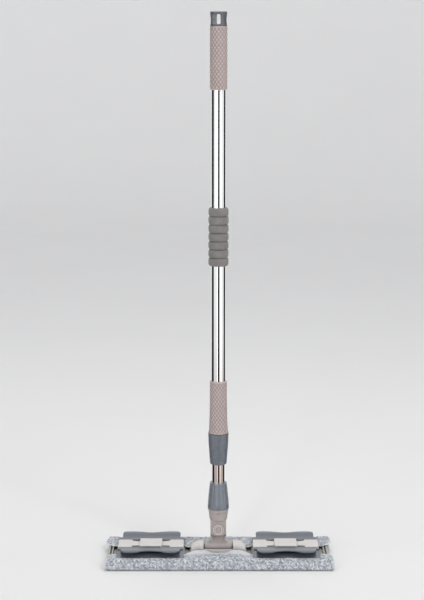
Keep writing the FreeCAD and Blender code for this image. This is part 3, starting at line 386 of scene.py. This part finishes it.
def dress_cad_nodes():
    """Give every CAD node its own finish, or the material of its slot in the record."""
    for part in frame["record"]["subparts"]:
        node = frame["nodes"][part["node"]]
        material = OWN_FINISH.get(part["node"], part["material_slot"])
        node.data.materials.clear()
        node.data.materials.append(MATERIALS[material])


# ---------------------------------------------------------------- mesh helpers

def grid_faces(rows, columns, close_rows=False, close_columns=False):
    """Quads between neighbours in a grid of points, closed round either way if asked."""
    row = np.arange(rows if close_rows else rows - 1)[:, None]
    column = np.arange(columns if close_columns else columns - 1)[None, :]
    next_row = (row + 1) % rows
    next_column = (column + 1) % columns
    corners = (row * columns + column, next_row * columns + column,
               next_row * columns + next_column, row * columns + next_column)
    return np.stack(corners, axis=-1).reshape(-1, 4)


def edge_indices(rows, columns):
    """Indices of a grid's edge points, in order round it."""
    grid = np.arange(rows * columns).reshape(rows, columns)
    return np.concatenate([grid[0, :-1], grid[:-1, -1], grid[-1, :0:-1], grid[:0:-1, 0]])


def grid_normals(points):
    """Unit normals of a grid of points."""
    return unit(np.cross(np.gradient(points, axis=0), np.gradient(points, axis=1)))


def closed_sheet(outer, inner):
    """Points and faces of two matching grids joined round their edge."""
    rows, columns = outer.shape[:2]
    faces = grid_faces(rows, columns)
    rim = edge_indices(rows, columns)
    following = np.roll(rim, -1)
    count = rows * columns
    walls = np.stack([rim, following, following + count, rim + count], axis=1)
    return np.stack([outer, inner]), np.vstack([faces, faces + count, walls]).tolist()


def circle(count):
    """Angles of evenly spaced points round a circle."""
    return np.linspace(0, 2 * math.pi, count, endpoint=False)


def turned_points(radii, heights):
    """Points of a turned form, from rows of radii round it and the height of each row."""
    around = radii.shape[1]
    turn = circle(around)
    return np.dstack([radii * np.cos(turn), radii * np.sin(turn),
                      np.repeat(heights[:, None], around, axis=1)])


def new_object(name, points, faces, material):
    """An object in the scene with this mesh and one material."""
    mesh = bpy.data.meshes.new(name)
    mesh.from_pydata(points.reshape(-1, 3).tolist(), [], faces)
    mesh.materials.append(material)
    thing = bpy.data.objects.new(name, mesh)
    bpy.context.scene.collection.objects.link(thing)
    return thing


def new_piece(name, points, faces, slot, material=None, **painted):
    """A smooth mesh piece; each painted value is kept at its points for the material."""
    piece = new_object(name, points, faces, MATERIALS[material or slot])
    mesh = piece.data
    mesh.polygons.foreach_set("use_smooth", [True] * len(mesh.polygons))
    for key, values in painted.items():
        layer = mesh.attributes.new(key, "FLOAT", "POINT")
        layer.data.foreach_set("value", values.astype(np.float32).ravel())
    builder = bmesh.new()
    builder.from_mesh(mesh)
    bmesh.ops.recalc_face_normals(builder, faces=builder.faces)
    builder.to_mesh(mesh)
    builder.free()
    return piece


def unit(vectors):
    """The same directions at length 1."""
    return vectors / np.linalg.norm(vectors, axis=-1, keepdims=True)


def ramp(value, low, high):
    """0 below low, 1 above high, smooth between."""
    share = np.clip((value - low) / (high - low), 0, 1)
    return share * share * (3 - 2 * share)


def hump(distance, width, sharpness):
    """1 at no distance, falling to 0 either side past width, faster if sharper."""
    return np.exp(-(np.abs(distance) / width) ** sharpness)


def ripple(points, size, seed):
    """Smooth noise from -1 to 1 at each point, with lumps about size wide."""
    shift = Vector((seed, 0, 0))
    flat = points.reshape(-1, 3) / size
    values = [noise.noise(Vector(point) + shift) for point in flat]
    return np.array(values).reshape(points.shape[:-1])


# ---------------------------------------------------------------- pile cloth

CLOTH_LENGTH = 456 * MM
CLOTH_WIDTH = 276 * MM
CLOTH_HALF_THICKNESS = 1.5 * MM
GRID_STEP = 0.9 * MM
PLATE_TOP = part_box("base_plate")[1].z
FLAP_LEVEL = PLATE_TOP + CLOTH_HALF_THICKNESS + 0.1 * MM
SOLE_LEVEL = CLOTH_HALF_THICKNESS + 0.9 * MM
CLIP_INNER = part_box("right_clip_beam")[0].x
CLIP_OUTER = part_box("right_clip_beam")[1].x
TEETH_LINE = 59 * MM
SHELF_EDGE = 38 * MM
POLE_ROOM = 22 * MM
HEAP_REACH = 43 * MM
SHELF_REACH = 60 * MM
SPLINE_STEPS = 12


def under_clips(x):
    """1 where a clip holds the flap down, 0 between the clips and at the ends."""
    distance = np.abs(x)
    return ramp(distance, CLIP_INNER - 9 * MM, CLIP_INNER + 2 * MM) * (
        1 - ramp(distance, CLIP_OUTER - 2 * MM, CLIP_OUTER + 7 * MM))


def under_pole(x):
    """1 in the middle strip, where the yoke and fork come down at the ends of the tilt."""
    return hump(x, POLE_ROOM, 6)


def front_half(x):
    """Middle line of the cloth's front half at each x, hem first, as (distance, height).

    Between the clips the flap heaps up in front of the bracket, and its hem lies on
    the bracket's foot at each side, but flat and further out under the pole."""
    clip = under_clips(x)
    press = under_pole(x)
    heap = hump(x, HEAP_REACH, 2.6)
    shelf = hump(x, SHELF_REACH, 8) * (1 - clip)
    puff = (2.8 - 1.0 * clip) * MM
    return [
        ((32.5 - 11.5 * shelf + 3.5 * press) * MM, FLAP_LEVEL + 4.9 * MM * shelf * (1 - press)),
        ((37.5 - 3.5 * shelf) * MM, FLAP_LEVEL + 0.6 * MM * shelf * (1 - press)),
        (46 * MM + 1 * MM * heap, FLAP_LEVEL + 4.2 * MM * heap),
        (58.5 * MM - 6 * MM * heap, FLAP_LEVEL + (0.7 + 5.4 * heap) * MM),
        (64.0 * MM - 2 * MM * heap, FLAP_LEVEL + puff + 0.6 * MM * heap),
        (69.5 * MM, FLAP_LEVEL - 0.6 * MM + 0.4 * puff),
        (72.6 * MM, 10.5 * MM),
        (72.4 * MM, 4.4 * MM),
        (67.5 * MM, SOLE_LEVEL),
        (32.0 * MM, SOLE_LEVEL),
    ]


def rear_half(x):
    """The rear half, which lies flatter and reaches further in between the clips."""
    clip = under_clips(x)
    outer_end = ramp(np.abs(x), CLIP_OUTER, CLIP_OUTER + 8 * MM)
    reach = (19 + 12 * clip + 6 * outer_end + 5.5 * under_pole(x)) * MM
    puff = (3.4 - 1.6 * clip + 0.6 * outer_end) * MM
    return [
        (reach, FLAP_LEVEL + 0.2 * MM),
        (reach + 7 * MM, FLAP_LEVEL + 0.9 * MM * (1 - clip)),
        (47 * MM, FLAP_LEVEL + 0.6 * MM * (1 - clip)),
        (58.5 * MM, FLAP_LEVEL + 0.7 * MM + 1.2 * MM * outer_end),
        (63.5 * MM, FLAP_LEVEL + puff),
        (68.4 * MM, FLAP_LEVEL - 0.6 * MM + 0.5 * puff),
        (70.4 * MM, 10.5 * MM),
        (68.8 * MM, 4.8 * MM),
        (63.0 * MM, SOLE_LEVEL),
        (32.0 * MM, SOLE_LEVEL),
    ]


def smooth_path(corners, count):
    """Evenly spaced points on a cubic B-spline of these corners, ends included."""
    padded = np.vstack([2 * corners[0] - corners[1], corners, 2 * corners[-1] - corners[-2]])
    step = np.linspace(0, 1, SPLINE_STEPS, endpoint=False)[:, None]
    weights = ((1 - step) ** 3, 3 * step ** 3 - 6 * step ** 2 + 4,
               -3 * step ** 3 + 3 * step ** 2 + 3 * step + 1, step ** 3)
    pieces = [sum(w * padded[i + k] for k, w in enumerate(weights)) / 6
              for i in range(len(padded) - 3)]
    fine = np.vstack([*pieces, corners[-1:]])
    length = np.concatenate([[0], np.cumsum(np.linalg.norm(np.diff(fine, axis=0), axis=1))])
    wanted = np.linspace(0, length[-1], count)
    return np.stack([np.interp(wanted, length, fine[:, axis]) for axis in (0, 1)], axis=1)


def cloth_section(x, count):
    """The whole section at one x, from the front hem round under to the rear hem."""
    front = np.array([(FRONT * d, z) for d, z in front_half(x)])
    rear = np.array([(REAR * d, z) for d, z in rear_half(x)])
    return smooth_path(np.vstack([front, rear[::-1]]), count)


# The ends of the cloth: corner radii front and rear, and the rear flap's bulge.
LEFT_END_TUCK = 4 * MM
LEFT_CORNERS = (16 * MM, 13 * MM)
RIGHT_CORNERS = (14 * MM, 24 * MM)
BULGE = 5 * MM
BULGE_FROM_HEM = 22 * MM
BULGE_REACH = 13 * MM
RIGHT_BULGE_SHARE = 0.4
END_SHARPNESS = 12


def corner_trim(along, radius):
    """How far a rounded corner draws the end in, at a distance along from the hem."""
    rest = np.clip(radius - along, 0, radius)
    return radius - np.sqrt(radius ** 2 - rest ** 2)


def end_inset(along, tuck, front_radius, rear_radius):
    """How far one end is drawn in, by a tuck and by a rounded corner at each hem."""
    return tuck + corner_trim(along, front_radius) + corner_trim(CLOTH_WIDTH - along, rear_radius)


def cloth_middle(columns, rows):
    """The cloth's middle surface as a grid of points, rows across and columns along."""
    x_line = np.linspace(-1, 1, columns) * CLOTH_LENGTH / 2
    sections = np.stack([cloth_section(x, rows) for x in x_line], axis=1)
    along = np.linspace(0, CLOTH_WIDTH, rows)
    bulge = BULGE * hump(CLOTH_WIDTH - along - BULGE_FROM_HEM, BULGE_REACH, 2)
    left = end_inset(along, LEFT_END_TUCK, *LEFT_CORNERS) - bulge
    right = end_inset(along, 0, *RIGHT_CORNERS) - RIGHT_BULGE_SHARE * bulge
    side = x_line[None, :] / (CLOTH_LENGTH / 2)
    shift = np.where(side < 0, left[:, None], -right[:, None])
    x = x_line[None, :] + shift * np.abs(side) ** END_SHARPNESS
    return np.dstack([x, sections[..., 0], sections[..., 1]])


# Loop sizes other than pitch and height are in loop pitches.
LOOP_SEED = 7
LOOP_PITCH = 2.6 * MM
LOOP_HEIGHT = 2.0 * MM
LOOP_RADIUS = 0.72
LOOP_SQUEEZE = 0.8
LOOP_JITTER = (0.25, 0.75)
LOOP_TALLNESS = (0.65, 1.0)
STRAY_LOOPS = 0.15
FIRST_YARN, YARN_STEP, YARN_SPREAD = 0.3, 0.4, 0.25
FAR_AWAY = 9.0
NEIGHBOURS = [(down, over) for down in (-1, 0, 1) for over in (-1, 0, 1)]


def yarn_pattern(rng, shape):
    """The yarn of each loop: the two by turns, with a few strays and a spread of tone."""
    turns = np.indices(shape).sum(axis=0) % 2
    turns = np.where(rng.uniform(0, 1, shape) < STRAY_LOOPS, 1 - turns, turns)
    return FIRST_YARN + YARN_STEP * turns + rng.uniform(-YARN_SPREAD, YARN_SPREAD, shape)


def loops(columns, rows):
    """Height of the loops, and which yarn each has, over the flat cloth."""
    rng = np.random.default_rng(LOOP_SEED)
    across = np.linspace(0, CLOTH_WIDTH, rows) / LOOP_PITCH
    along = np.linspace(0, CLOTH_LENGTH, columns) / LOOP_PITCH
    shape = (int(across[-1]) + 3, int(along[-1]) + 3)
    places = rng.uniform(*LOOP_JITTER, (*shape, 2))
    tall = rng.uniform(*LOOP_TALLNESS, shape)
    yarns = yarn_pattern(rng, shape)
    v, u = np.meshgrid(across, along, indexing="ij")
    nearest = np.full(v.shape, FAR_AWAY)
    height = np.zeros(v.shape)
    yarn = np.zeros(v.shape)
    for down, over in NEIGHBOURS:
        row = np.floor(v).astype(int) + down
        column = np.floor(u).astype(int) + over
        spot = places[row, column]
        distance = np.hypot(row + spot[..., 0] - v, (column + spot[..., 1] - u) * LOOP_SQUEEZE)
        closer = distance < nearest
        nearest = np.where(closer, distance, nearest)
        height = np.where(closer, tall[row, column], height)
        yarn = np.where(closer, yarns[row, column], yarn)
    return height * np.sqrt(np.clip(1 - (nearest / LOOP_RADIUS) ** 2, 0, 1)), yarn


# Loop heights and yarns on the inner side, on the flattened shelf and under the clips.
INNER_LOOP, INNER_YARN = 0.6, 0.5
SHELF_LOOP, SHELF_ROUGH = 0.6, 0.15
SHELF_YARN, SHELF_BLEND = 0.5, 0.6
PINNED_LOOP = 0.15


def unpinned(middle):
    """0 where the clips hold the cloth down on the plate, 1 where it is free."""
    inside_teeth = np.abs(middle[..., 1]) < TEETH_LINE
    on_plate = middle[..., 2] > PLATE_TOP
    return 1 - under_clips(middle[..., 0]) * inside_teeth * on_plate


def rumple(middle, free):
    """How far the free cloth waves out and in, above the sole and not under the pole."""
    wave = ripple(middle, 26 * MM, 3) * 1.1 * MM + ripple(middle, 9 * MM, 11) * 0.4 * MM
    above_sole = ramp(middle[..., 2], 4 * MM, 9 * MM) * free
    inside = np.abs(middle[..., 1]) < SHELF_EDGE
    return wave * (1 - under_pole(middle[..., 0]) * inside) * above_sole


def front_shelf(middle, free):
    """1 on the free strip of the front flap behind the heap, whose loops lie flat."""
    in_front = middle[..., 1] < 0
    on_plate = middle[..., 2] > PLATE_TOP
    return ramp(middle[..., 1], -SHELF_EDGE - 3 * MM, -SHELF_EDGE) * free * in_front * on_plate


def make_cloth():
    """The wrapped cloth, one closed sheet with loops on its outer side, and its middle."""
    columns = round(CLOTH_LENGTH / GRID_STEP)
    rows = round(CLOTH_WIDTH / GRID_STEP)
    middle = cloth_middle(columns, rows)
    outward = grid_normals(middle)
    free = unpinned(middle)
    middle = middle + outward * rumple(middle, free)[..., None]
    height, yarn = loops(columns, rows)
    shelf = front_shelf(middle, free)
    height = height * (1 - shelf) + (SHELF_LOOP + SHELF_ROUGH * height) * shelf
    yarn = yarn * (1 - SHELF_BLEND * shelf) + SHELF_YARN * shelf
    raised = height * (PINNED_LOOP + (1 - PINNED_LOOP) * free)
    outer = middle + outward * (CLOTH_HALF_THICKNESS + LOOP_HEIGHT * raised)[..., None]
    outer[..., 2] = np.maximum(outer[..., 2], FLOOR_GAP)
    inner = middle - outward * CLOTH_HALF_THICKNESS
    cloth = new_piece("cloth", *closed_sheet(outer, inner), "cloth",
                      loop=np.stack([height, np.full(height.shape, INNER_LOOP)]),
                      yarn=np.stack([yarn, np.full(yarn.shape, INNER_YARN)]))
    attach(cloth, "head")
    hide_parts("mop_cloth")
    return cloth, middle


# ---------------------------------------------------------------- hem

HEM_WIDTH = 3.2 * MM
HEM_HALF_THICKNESS = 1.55 * MM
HEM_SMOOTHINGS = 3
HEM_AROUND = 12
STITCH_PITCH = 2.6 * MM
STITCH_SWELL = 0.10


def with_neighbours(rows):
    """Each row of a closed ring plus the row before it and the row after it."""
    return np.roll(rows, 1, axis=0) + rows + np.roll(rows, -1, axis=0)


def make_hem(middle):
    """The overlocked edge, swept round the cloth's outline."""
    rim = edge_indices(*middle.shape[:2])
    line = middle.reshape(-1, 3)[rim]
    normal = grid_normals(middle).reshape(-1, 3)[rim]
    for _ in range(HEM_SMOOTHINGS):
        line = with_neighbours(line) / 3
        normal = unit(with_neighbours(normal))
    forward = unit(np.roll(line, -1, axis=0) - np.roll(line, 1, axis=0))
    sideways = unit(np.cross(forward, normal))
    steps = np.linalg.norm(np.roll(line, -1, axis=0) - line, axis=1)
    stitch = 0.5 + 0.5 * np.cos(np.cumsum(steps) / STITCH_PITCH * 2 * math.pi)
    turn = circle(HEM_AROUND)
    swell = (1 + STITCH_SWELL * stitch)[:, None]
    across = np.cos(turn)[None, :] * swell * HEM_WIDTH
    up = np.sin(turn)[None, :] * swell * HEM_HALF_THICKNESS
    points = (line[:, None] + sideways[:, None] * across[..., None]
              + normal[:, None] * up[..., None])
    points[..., 2] = np.maximum(points[..., 2], FLOOR_GAP)
    faces = grid_faces(len(line), HEM_AROUND, close_rows=True, close_columns=True).tolist()
    stitches = np.repeat(stitch[:, None], HEM_AROUND, axis=1)
    hem = new_piece("cloth_hem", points, faces, "cloth", "hem", stitch=stitches)
    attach(hem, "head")
    return hem


# ---------------------------------------------------------------- foam under the plate

PAD_COLUMNS = 150
PAD_AROUND = 16
PAD_END_SHARPNESS = 60
PAD_END_SIZE = (0.985, 0.55)


def squared(wave, power):
    """A sine or cosine pushed towards -1 and 1, which squares a round section."""
    return np.sign(wave) * np.abs(wave) ** power


def make_pad():
    """The foam between plate and cloth: a thin slab with soft, slightly wavy edges."""
    low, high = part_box("foam_pad")
    centre = (low + high) / 2
    half = (high - low) / 2
    turn = circle(PAD_AROUND)
    share = np.linspace(-1, 1, PAD_COLUMNS)[:, None]
    taper = np.sqrt(np.clip(1 - np.abs(share) ** PAD_END_SHARPNESS, 0, 1))
    width, height = (end + (1 - end) * taper for end in PAD_END_SIZE)
    across = squared(np.cos(turn), 0.15)[None, :]
    up = squared(np.sin(turn), 0.35)[None, :]
    x = np.repeat(centre.x + half.x * share, PAD_AROUND, axis=1)
    y = centre.y + half.y * width * across
    z = centre.z + half.z * height * up
    points = np.dstack([x, y, z])
    wavy = ripple(points, 12 * MM, 5) * 0.3 * MM
    points[..., 1] -= np.abs(wavy) * np.sign(across)
    faces = grid_faces(PAD_COLUMNS, PAD_AROUND, close_columns=True).tolist()
    last_ring = (PAD_COLUMNS - 1) * PAD_AROUND
    faces += [list(range(start, start + PAD_AROUND)) for start in (0, last_ring)]
    pad = new_piece("pad", points, faces, "pad_foam")
    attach(pad, "head")
    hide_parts("foam_pad")


# ---------------------------------------------------------------- grips

GRIP_BORE = 14.1 * MM
GRIP_STEP = 0.7 * MM
STEPS_PER_DIAMOND = 11
DIAMOND_DEPTH = 0.9 * MM
DIAMOND_TOP = 0.55
EDGE_ROUNDING = 0.9 * MM


def node_profile(name):
    """Heights of a turned CAD node and its outer radius at each, from its own mesh."""
    mesh = frame["nodes"][name].data
    points = np.array([vertex.co for vertex in mesh.vertices])
    height = np.round(points[:, 2], 5)
    radius = np.hypot(points[:, 0], points[:, 1])
    levels = np.unique(height)
    return levels, np.array([radius[height == level].max() for level in levels])


def turned_piece(name, z, radius, bore, slot, **painted):
    """A closed sleeve: rows of radii up the height, and a plain bore inside."""
    rows, around = radius.shape
    inside = np.full((1, around), bore)
    points = turned_points(np.vstack([inside, radius, inside]),
                           np.concatenate([z[:1], z, z[-1:]]))
    faces = grid_faces(rows + 2, around, close_rows=True, close_columns=True).tolist()
    full = {key: np.vstack([value[:1], value, value[-1:]]) for key, value in painted.items()}
    return new_piece(name, points, faces, slot, **full)


def diamonds(angle, z, count, pitch):
    """0 in crossed spiral grooves and up to 1 on the diamonds between them."""
    turn = angle * count / (2 * math.pi)
    one = np.abs(2 * np.mod(turn + z / pitch, 1) - 1)
    other = np.abs(2 * np.mod(turn - z / pitch, 1) - 1)
    return np.clip(1 - np.maximum(one, other), 0, DIAMOND_TOP) / DIAMOND_TOP


def make_grip(name, node, body, count, pitch):
    """A rubber grip with raised diamonds, and a plain band at each end."""
    levels, outline = node_profile(node)
    z = np.arange(levels[0], levels[-1], GRIP_STEP)
    z = np.append(z, levels[-1])
    angle = circle(count * STEPS_PER_DIAMOND)
    relief = diamonds(angle[None, :], z[:, None], count, pitch)
    from_end = np.minimum(z - levels[0], levels[-1] - z)[:, None]
    band = 1 - ramp(from_end, 2.0 * MM, 2.8 * MM)
    relief = relief * (1 - band) + band
    rounding = EDGE_ROUNDING * (1 - ramp(from_end, 0, 1.2 * MM))
    radius = np.interp(z, levels, outline)[:, None] - DIAMOND_DEPTH * (1 - relief) - rounding
    piece = turned_piece(name, z, radius, GRIP_BORE, "grip_rubber", relief=relief)
    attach(piece, body)
    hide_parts(node)


RIBS = 7
STEPS_PER_RIB = 24
SLEEVE_AROUND = 96
GROOVE_DEPTH = 3.2 * MM
SLEEVE_WAVER = 0.25 * MM
SLEEVE_INSET = 0.15 * MM


def make_sleeve():
    """The foam sleeve: swollen ribs with tight grooves between them."""
    low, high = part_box("foam_grip")
    z = np.linspace(low.z, high.z, RIBS * STEPS_PER_RIB + 1)
    share = (z - low.z) / (high.z - low.z) * RIBS
    within = np.abs(2 * np.mod(share, 1) - 1)
    within[[0, -1]] = 1
    swell = (1 - within ** 3.2) ** 0.6
    crest = high.x
    groove = crest - GROOVE_DEPTH
    radius = groove + (crest - groove) * swell[:, None] * np.ones((1, SLEEVE_AROUND))
    waver = ripple(turned_points(radius, z), 14 * MM, 2) * SLEEVE_WAVER
    radius = radius + waver - SLEEVE_INSET
    piece = turned_piece("foam_sleeve", z, radius, GRIP_BORE, "foam_sleeve")
    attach(piece, "handle")
    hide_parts("foam_grip")


# ---------------------------------------------------------------- stage

CAMERA_PLACE = Vector((-0.0128, -3.0, 1.10))
CAMERA_PITCH = math.radians(10.63)
CAMERA_LENS = 92.6
SENSOR = 36
FLOOR_RADIUS = 5
FLOOR_BEND = 3
FLOOR_RISE = math.radians(80)
FLOOR_RINGS = 24
FLOOR_AROUND = 96
HIDDEN_HOLE = 0.01
FLOOR_TONES = ((0.87, 0.865, 0.86), (0.90, 0.895, 0.89))


def make_camera():
    """The photograph's view: level with the top of the pole and looking slightly down."""
    data = bpy.data.cameras.new("camera")
    data.sensor_fit = "VERTICAL"
    data.sensor_height = SENSOR
    data.lens = CAMERA_LENS
    camera = bpy.data.objects.new("camera", data)
    camera.location = CAMERA_PLACE
    camera.rotation_euler = (math.pi / 2 - CAMERA_PITCH, 0, 0)
    bpy.context.scene.collection.objects.link(camera)
    bpy.context.scene.camera = camera


def area_light(name, place, aim, size, power, colour):
    """A rectangular light at a place, turned to face its aim."""
    data = bpy.data.lights.new(name, "AREA")
    data.shape = "RECTANGLE"
    data.size, data.size_y = size
    data.energy = power
    data.color = colour
    light = bpy.data.objects.new(name, data)
    light.location = place
    light.rotation_euler = (Vector(aim) - Vector(place)).to_track_quat("-Z", "Y").to_euler()
    bpy.context.scene.collection.objects.link(light)


def make_lights():
    """One warm key from the right, a cool fill from the left and a soft top light."""
    area_light("key", place=(1.3, -1.7, 2.5), aim=(0, 0, 0.4), size=(0.9, 0.9),
               power=15, colour=(1, 0.97, 0.94))
    area_light("fill", place=(-2.0, -2.2, 1.0), aim=(0, 0, 0.3), size=(1.4, 1.6),
               power=6, colour=(0.96, 0.98, 1))
    area_light("top", place=(0, 0.6, 2.6), aim=(0, 0, 0), size=(1.6, 1.0),
               power=12, colour=(1, 1, 1))


def pale_floor():
    """The floor's material: matt and pale, with hardly any pattern."""
    shader = Shader("pale_floor")
    shader.set(Specular_IOR_Level=0.0)
    tone = shader.mix(shader.noise(0.5, detail=3), *FLOOR_TONES)
    return shader.finish(tone, 0.8, shader.bump(shader.noise(2 * MM), 0.05 * MM, 0.2))


def make_floor():
    """A plain floor whose rim curves up all round, so that no horizon shows."""
    bend = np.linspace(0, FLOOR_RISE, FLOOR_RINGS)
    reach = np.concatenate([[HIDDEN_HOLE], FLOOR_RADIUS + FLOOR_BEND * np.sin(bend)])
    height = np.concatenate([[0], FLOOR_BEND * (1 - np.cos(bend))])
    points = turned_points(np.repeat(reach[:, None], FLOOR_AROUND, axis=1), height)
    faces = grid_faces(len(reach), FLOOR_AROUND, close_columns=True).tolist()
    floor = new_object("floor", points, faces, pale_floor())
    floor.data.shade_smooth()
    floor.visible_glossy = False


# Each band of the world: the angle where it starts, from the camera's side round to the
# right, and its brightness up to the next one.
LIT = 0.30
STRIP = 1.0
DARK = 0.0
BANDS = ((-180, LIT), (-138, DARK), (-84, LIT), (-21, STRIP), (-14, DARK), (14, LIT),
         (38, STRIP), (44, LIT), (92, DARK), (138, LIT))
WORLD_STRENGTH = 3.2
FLOOR_GLOW = (0.42, 0.33, 0.30)
ROOM_GLOW = (0.97, 0.98, 1.0)
GLOW_CHANGE = (-0.31, -0.20)


def banded(nodes, azimuth):
    """The brightness of the band that a direction falls in, from its azimuth."""
    bands = nodes.add("ShaderNodeValToRGB")
    bands.color_ramp.interpolation = "CONSTANT"
    stops = bands.color_ramp.elements
    stops.remove(stops[1])
    for number, (angle, level) in enumerate(BANDS):
        stop = stops.new((angle + 180) / 360) if number else stops[0]
        stop.color = (level, level, level, 1)
    share = nodes.span(azimuth, (-math.pi, math.pi))
    nodes.link(share, bands.inputs["Fac"])
    return bands.outputs["Color"]


def make_world():
    """Light from all round, in upright bands for the steel to reflect, and warm from below."""
    world = bpy.data.worlds.new("studio")
    world.use_nodes = True
    nodes = Nodes(world.node_tree)
    direction = nodes.split(nodes.add("ShaderNodeTexCoord").outputs["Generated"])
    forward = nodes.calculate("MULTIPLY", direction["Y"], -1)
    azimuth = nodes.calculate("ARCTAN2", direction["X"], forward)
    glow = nodes.mix(nodes.span(direction["Z"], GLOW_CHANGE), FLOOR_GLOW, ROOM_GLOW)
    colour = nodes.mix(1, banded(nodes, azimuth), glow, blend="MULTIPLY")
    background = world.node_tree.nodes["Background"]
    nodes.link(colour, background.inputs["Color"])
    background.inputs["Strength"].default_value = WORLD_STRENGTH
    bpy.context.scene.world = world


make_camera()
dress_cad_nodes()
cloth, cloth_line = make_cloth()
hem = make_hem(cloth_line)
make_pad()
make_grip("grip_top", "upper_grip", "handle", count=14, pitch=10 * MM)
make_grip("grip_low", "lower_grip", "handle", count=16, pitch=9.4 * MM)
make_sleeve()
make_floor()
make_world()
make_lights()
bpy.context.scene.view_settings.view_transform = "Standard"
